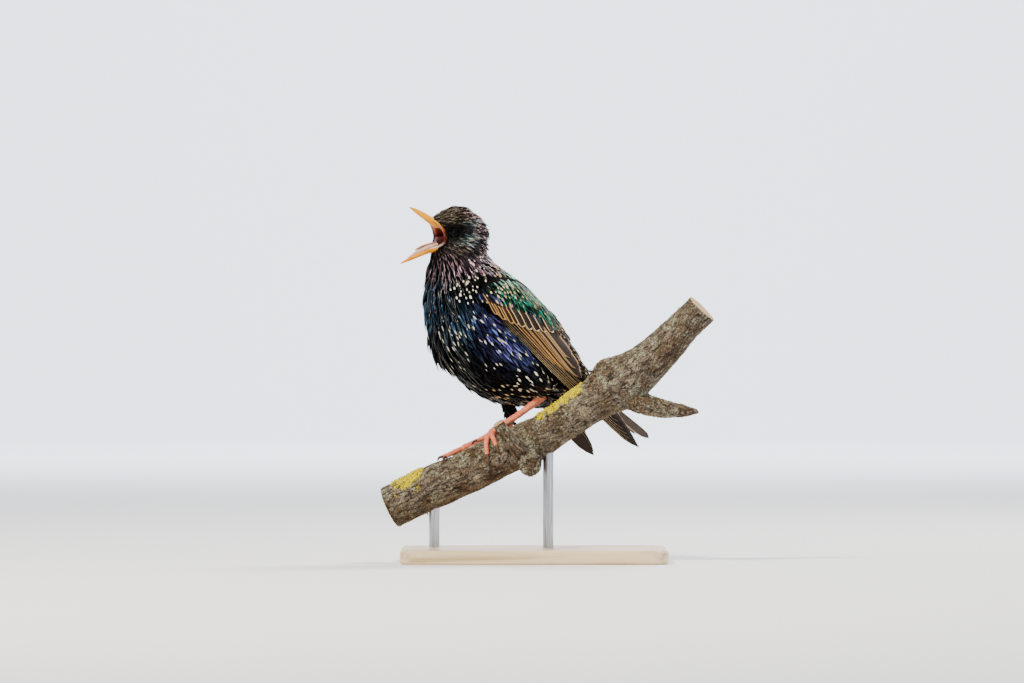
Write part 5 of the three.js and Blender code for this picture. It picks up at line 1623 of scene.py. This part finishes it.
def sawn_material():
    """Pale sawn wood with yearly rings round the pith, dry and matt."""
    material, tree, shader = new_material("sawn_wood_matt")
    wave = calc(tree, "SINE", calc(tree, "MULTIPLY", stored(tree, "ring"), 5.2))
    tone = toned(tree, wave, [(0.0, srgb("#bb9b6c")), (0.7, srgb("#a98455")), (1.0, srgb("#7a5a37"))])
    wire(tree, shader, {"Base Color": tone, "Roughness": 0.8})
    return material
class STARLING_OT_perch(PieceOperator, bpy.types.Operator):
    """Build the cut branch with its knot, twig stub, snag and bark"""
    bl_idname = "starling.perch"
    bl_label = "Perch"

    def execute(self, context):
        settings, sizes = context.scene.starling_perch, context.scene.starling_sizes
        angles = np.linspace(0, 2 * math.pi, 48, endpoint=False)
        rings = [branch_surface(np.full(48, t), angles) for t in np.linspace(0, 1, 110)]
        branch = loft("branch_bark", rings, in_metres)
        others = [tube(name, path, radii, 24, 16, in_metres) for name, (path, radii) in LIMBS.items()]
        carved(branch, others, "UNION")
        fused = branch.modifiers.new("fuse", "REMESH")
        fused.mode, fused.voxel_size = "VOXEL", BARK_GRAIN
        settled(branch)
        mesh = branch.data
        points = points_of(mesh) / MM
        normals = read(mesh.vertices, "normal", 3)
        ends = [(BRANCH_LINE.at(t)[0], BRANCH_LINE.along(t)[0] * way) for t, way in ((0, -1), (1, 1))]
        path = np.array(LIMBS["twig"][0])
        ends.append((path[-1], unit(path[-1] - path[-2])))
        height, marks = bark_relief(points, sizes.seed)
        sawn = np.zeros(len(points), bool)
        for middle, way in ends:
            beyond = (points - middle) @ way
            sawn |= (beyond > -0.5) & (np.linalg.norm(points - middle, axis=1) < CUT_REACH)
        moved = points + normals * (height * settings.crack_depth / MM * ~sawn)[:, None]
        mesh.vertices.foreach_set("co", in_metres(moved).ravel())
        for name, values in marks.items():
            store(mesh, name, "FLOAT", values)
        mesh.materials.append(bark_material(settings))
        mesh.materials.append(sawn_material())
        on_end = [int(all(sawn[i] for i in face.vertices)) for face in mesh.polygons]
        mesh.polygons.foreach_set("material_index", on_end)
        mesh.update()
        finish_piece(branch, ["perch_branch"])
        return {"FINISHED"}


def grained_material(name, tones, stretch, roughness, metallic=0.0):
    """A finish with fine straight lines: grain of pale wood, or scratches that make steel look brushed."""
    material, tree, shader = new_material(name)
    drawn = add_node(tree, "ShaderNodeVectorMath", {0: object_place(tree), 1: stretch}, operation="MULTIPLY")
    lines = cloud(tree, drawn.outputs[0], 1.0, 4.0, Distortion=0.6)
    wire(tree, shader, {
        "Base Color": toned(tree, lines, list(zip((0.36, 0.5, 0.64), tones))),
        "Normal": bumps(tree, lines, 0.15, 0.0002), "Roughness": roughness, "Metallic": metallic})
    return material


class STARLING_OT_stand(PieceOperator, bpy.types.Operator):
    """Give the base its wood and the rods their steel"""
    bl_idname = "starling.stand"
    bl_label = "Stand"

    def execute(self, context):
        base = context.scene.starling_perch.base_wood
        pine = (shaded(base, (0.72, 0.64, 0.52)), base[:], shaded(base, (1.12, 1.12, 1.1)))
        wood = grained_material("base_wood_satin", pine, (14, 210, 210), 0.42)
        steel = grained_material("rod_steel_brushed", (srgb("#8f9296"), srgb("#b4b6ba"), srgb("#cfd1d4")),
                                 (2600, 2600, 60), 0.32, metallic=1.0)
        for name, material in (("stand_base", wood), ("stand_rod_low", steel), ("stand_rod_high", steel)):
            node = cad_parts[name]
            for slot in node.material_slots:
                slot.material = material
        return {"FINISHED"}


class STARLING_OT_stage(PieceOperator, bpy.types.Operator):
    """Set up the floor, the soft studio lights and the camera at the photograph's angle"""
    bl_idname = "starling.stage"
    bl_label = "Stage"

    def execute(self, context):
        floor_tone, tree, shader = new_material("studio_floor_matt")
        wire(tree, shader, {"Base Color": srgb("#eef1f5"), "Roughness": 0.9})
        turn = np.linspace(0, 2 * math.pi, 72, endpoint=False)
        profile = [(0.001, 0.0)]
        profile += [(5 + 0.8 * math.sin(a), 0.8 - 0.8 * math.cos(a)) for a in np.linspace(0, math.pi / 2, 14)]
        profile += [(5.8, 3.0)]
        points = [(r * math.cos(a), r * math.sin(a), z) for r, z in profile for a in turn]
        faces = [face[::-1] for face in ring_faces(len(profile), len(turn), closed=False)]
        floor = new_object("studio_floor", points, faces)
        floor.data.materials.append(floor_tone)
        floor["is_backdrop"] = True
        for name, place, aim, size, power, tone in (
                ("key", (-0.75, -1.15, 1.5), (0, 0, 0.12), 0.25, 64, "#fff1dc"),
                ("fill", (1.2, -1.1, 0.6), (0, 0, 0.12), 1.2, 7, "#dfeaff"),
                ("back", (0.6, 0.8, 1.3), (0, 0, 0.12), 0.5, 34, "#fff7ec"),
                ("backdrop", (0, 3.2, 2.6), (0, 5.8, 0.2), 2.0, 260, "#f6f9ff")):
            light = bpy.data.lights.new(name, "AREA")
            light.size, light.energy, light.color = size, power, srgb(tone)[:3]
            lamp = bpy.data.objects.new(name, light)
            lamp.location = place
            lamp.rotation_euler = (Vector(aim) - Vector(place)).to_track_quat("-Z", "Y").to_euler()
            context.collection.objects.link(lamp)
        world = bpy.data.worlds.new("studio_air")
        world.use_nodes = True
        air = world.node_tree.nodes["Background"]
        wire(world.node_tree, air, {"Color": srgb("#dfe7f2"), "Strength": 0.7})
        context.scene.world = world
        lens = bpy.data.cameras.new("camera")
        camera = bpy.data.objects.new("camera", lens)
        aim = Vector(CAMERA["aim"]) * MM
        camera.location = aim - Vector((0, CAMERA["distance"] * MM, 0))
        camera.rotation_euler = (math.pi / 2, 0, 0)
        lens.sensor_width = 36
        lens.lens = 36 * CAMERA["distance"] / CAMERA["frame_width"]
        lens.clip_end = 20
        context.collection.objects.link(camera)
        context.scene.camera = camera
        return {"FINISHED"}


BUILD_ORDER = (STARLING_OT_skin, STARLING_OT_coat, STARLING_OT_wings, STARLING_OT_tail, STARLING_OT_bill,
               STARLING_OT_eyes, STARLING_OT_feet, STARLING_OT_perch, STARLING_OT_stand, STARLING_OT_stage)


class STARLING_PT_panel(bpy.types.Panel):
    bl_idname = "STARLING_PT_panel"
    bl_label = "Singing starling"
    bl_space_type = "VIEW_3D"
    bl_region_type = "UI"
    bl_category = "Starling"

    def draw(self, context):
        for group in ("starling_sizes", "starling_colours", "starling_perch"):
            box = self.layout.box()
            settings = getattr(context.scene, group)
            for key in settings.bl_rna.properties.keys():
                if key not in ("rna_type", "name"):
                    box.prop(settings, key)
        for operator in BUILD_ORDER:
            self.layout.operator(operator.bl_idname)


GROUPS = {
    "starling_sizes": StarlingSizes, "starling_colours": StarlingColours, "starling_perch": PerchSettings,
}


def register():
    for group in (*GROUPS.values(), *BUILD_ORDER, STARLING_PT_panel):
        bpy.utils.register_class(group)
    for name, group in GROUPS.items():
        setattr(bpy.types.Scene, name, PointerProperty(type=group))


def unregister():
    for name in GROUPS:
        delattr(bpy.types.Scene, name)
    for group in (STARLING_PT_panel, *reversed(BUILD_ORDER), *GROUPS.values()):
        bpy.utils.unregister_class(group)


def main():
    register()
    for operator in BUILD_ORDER:
        group, name = operator.bl_idname.split(".")
        getattr(getattr(bpy.ops, group), name)()
    low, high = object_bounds()
    boxes = {"cad": [list(corner) for corner in CAD_BOX], "visual": [list(low), list(high)]}


if __name__ == "__main__":
    main()
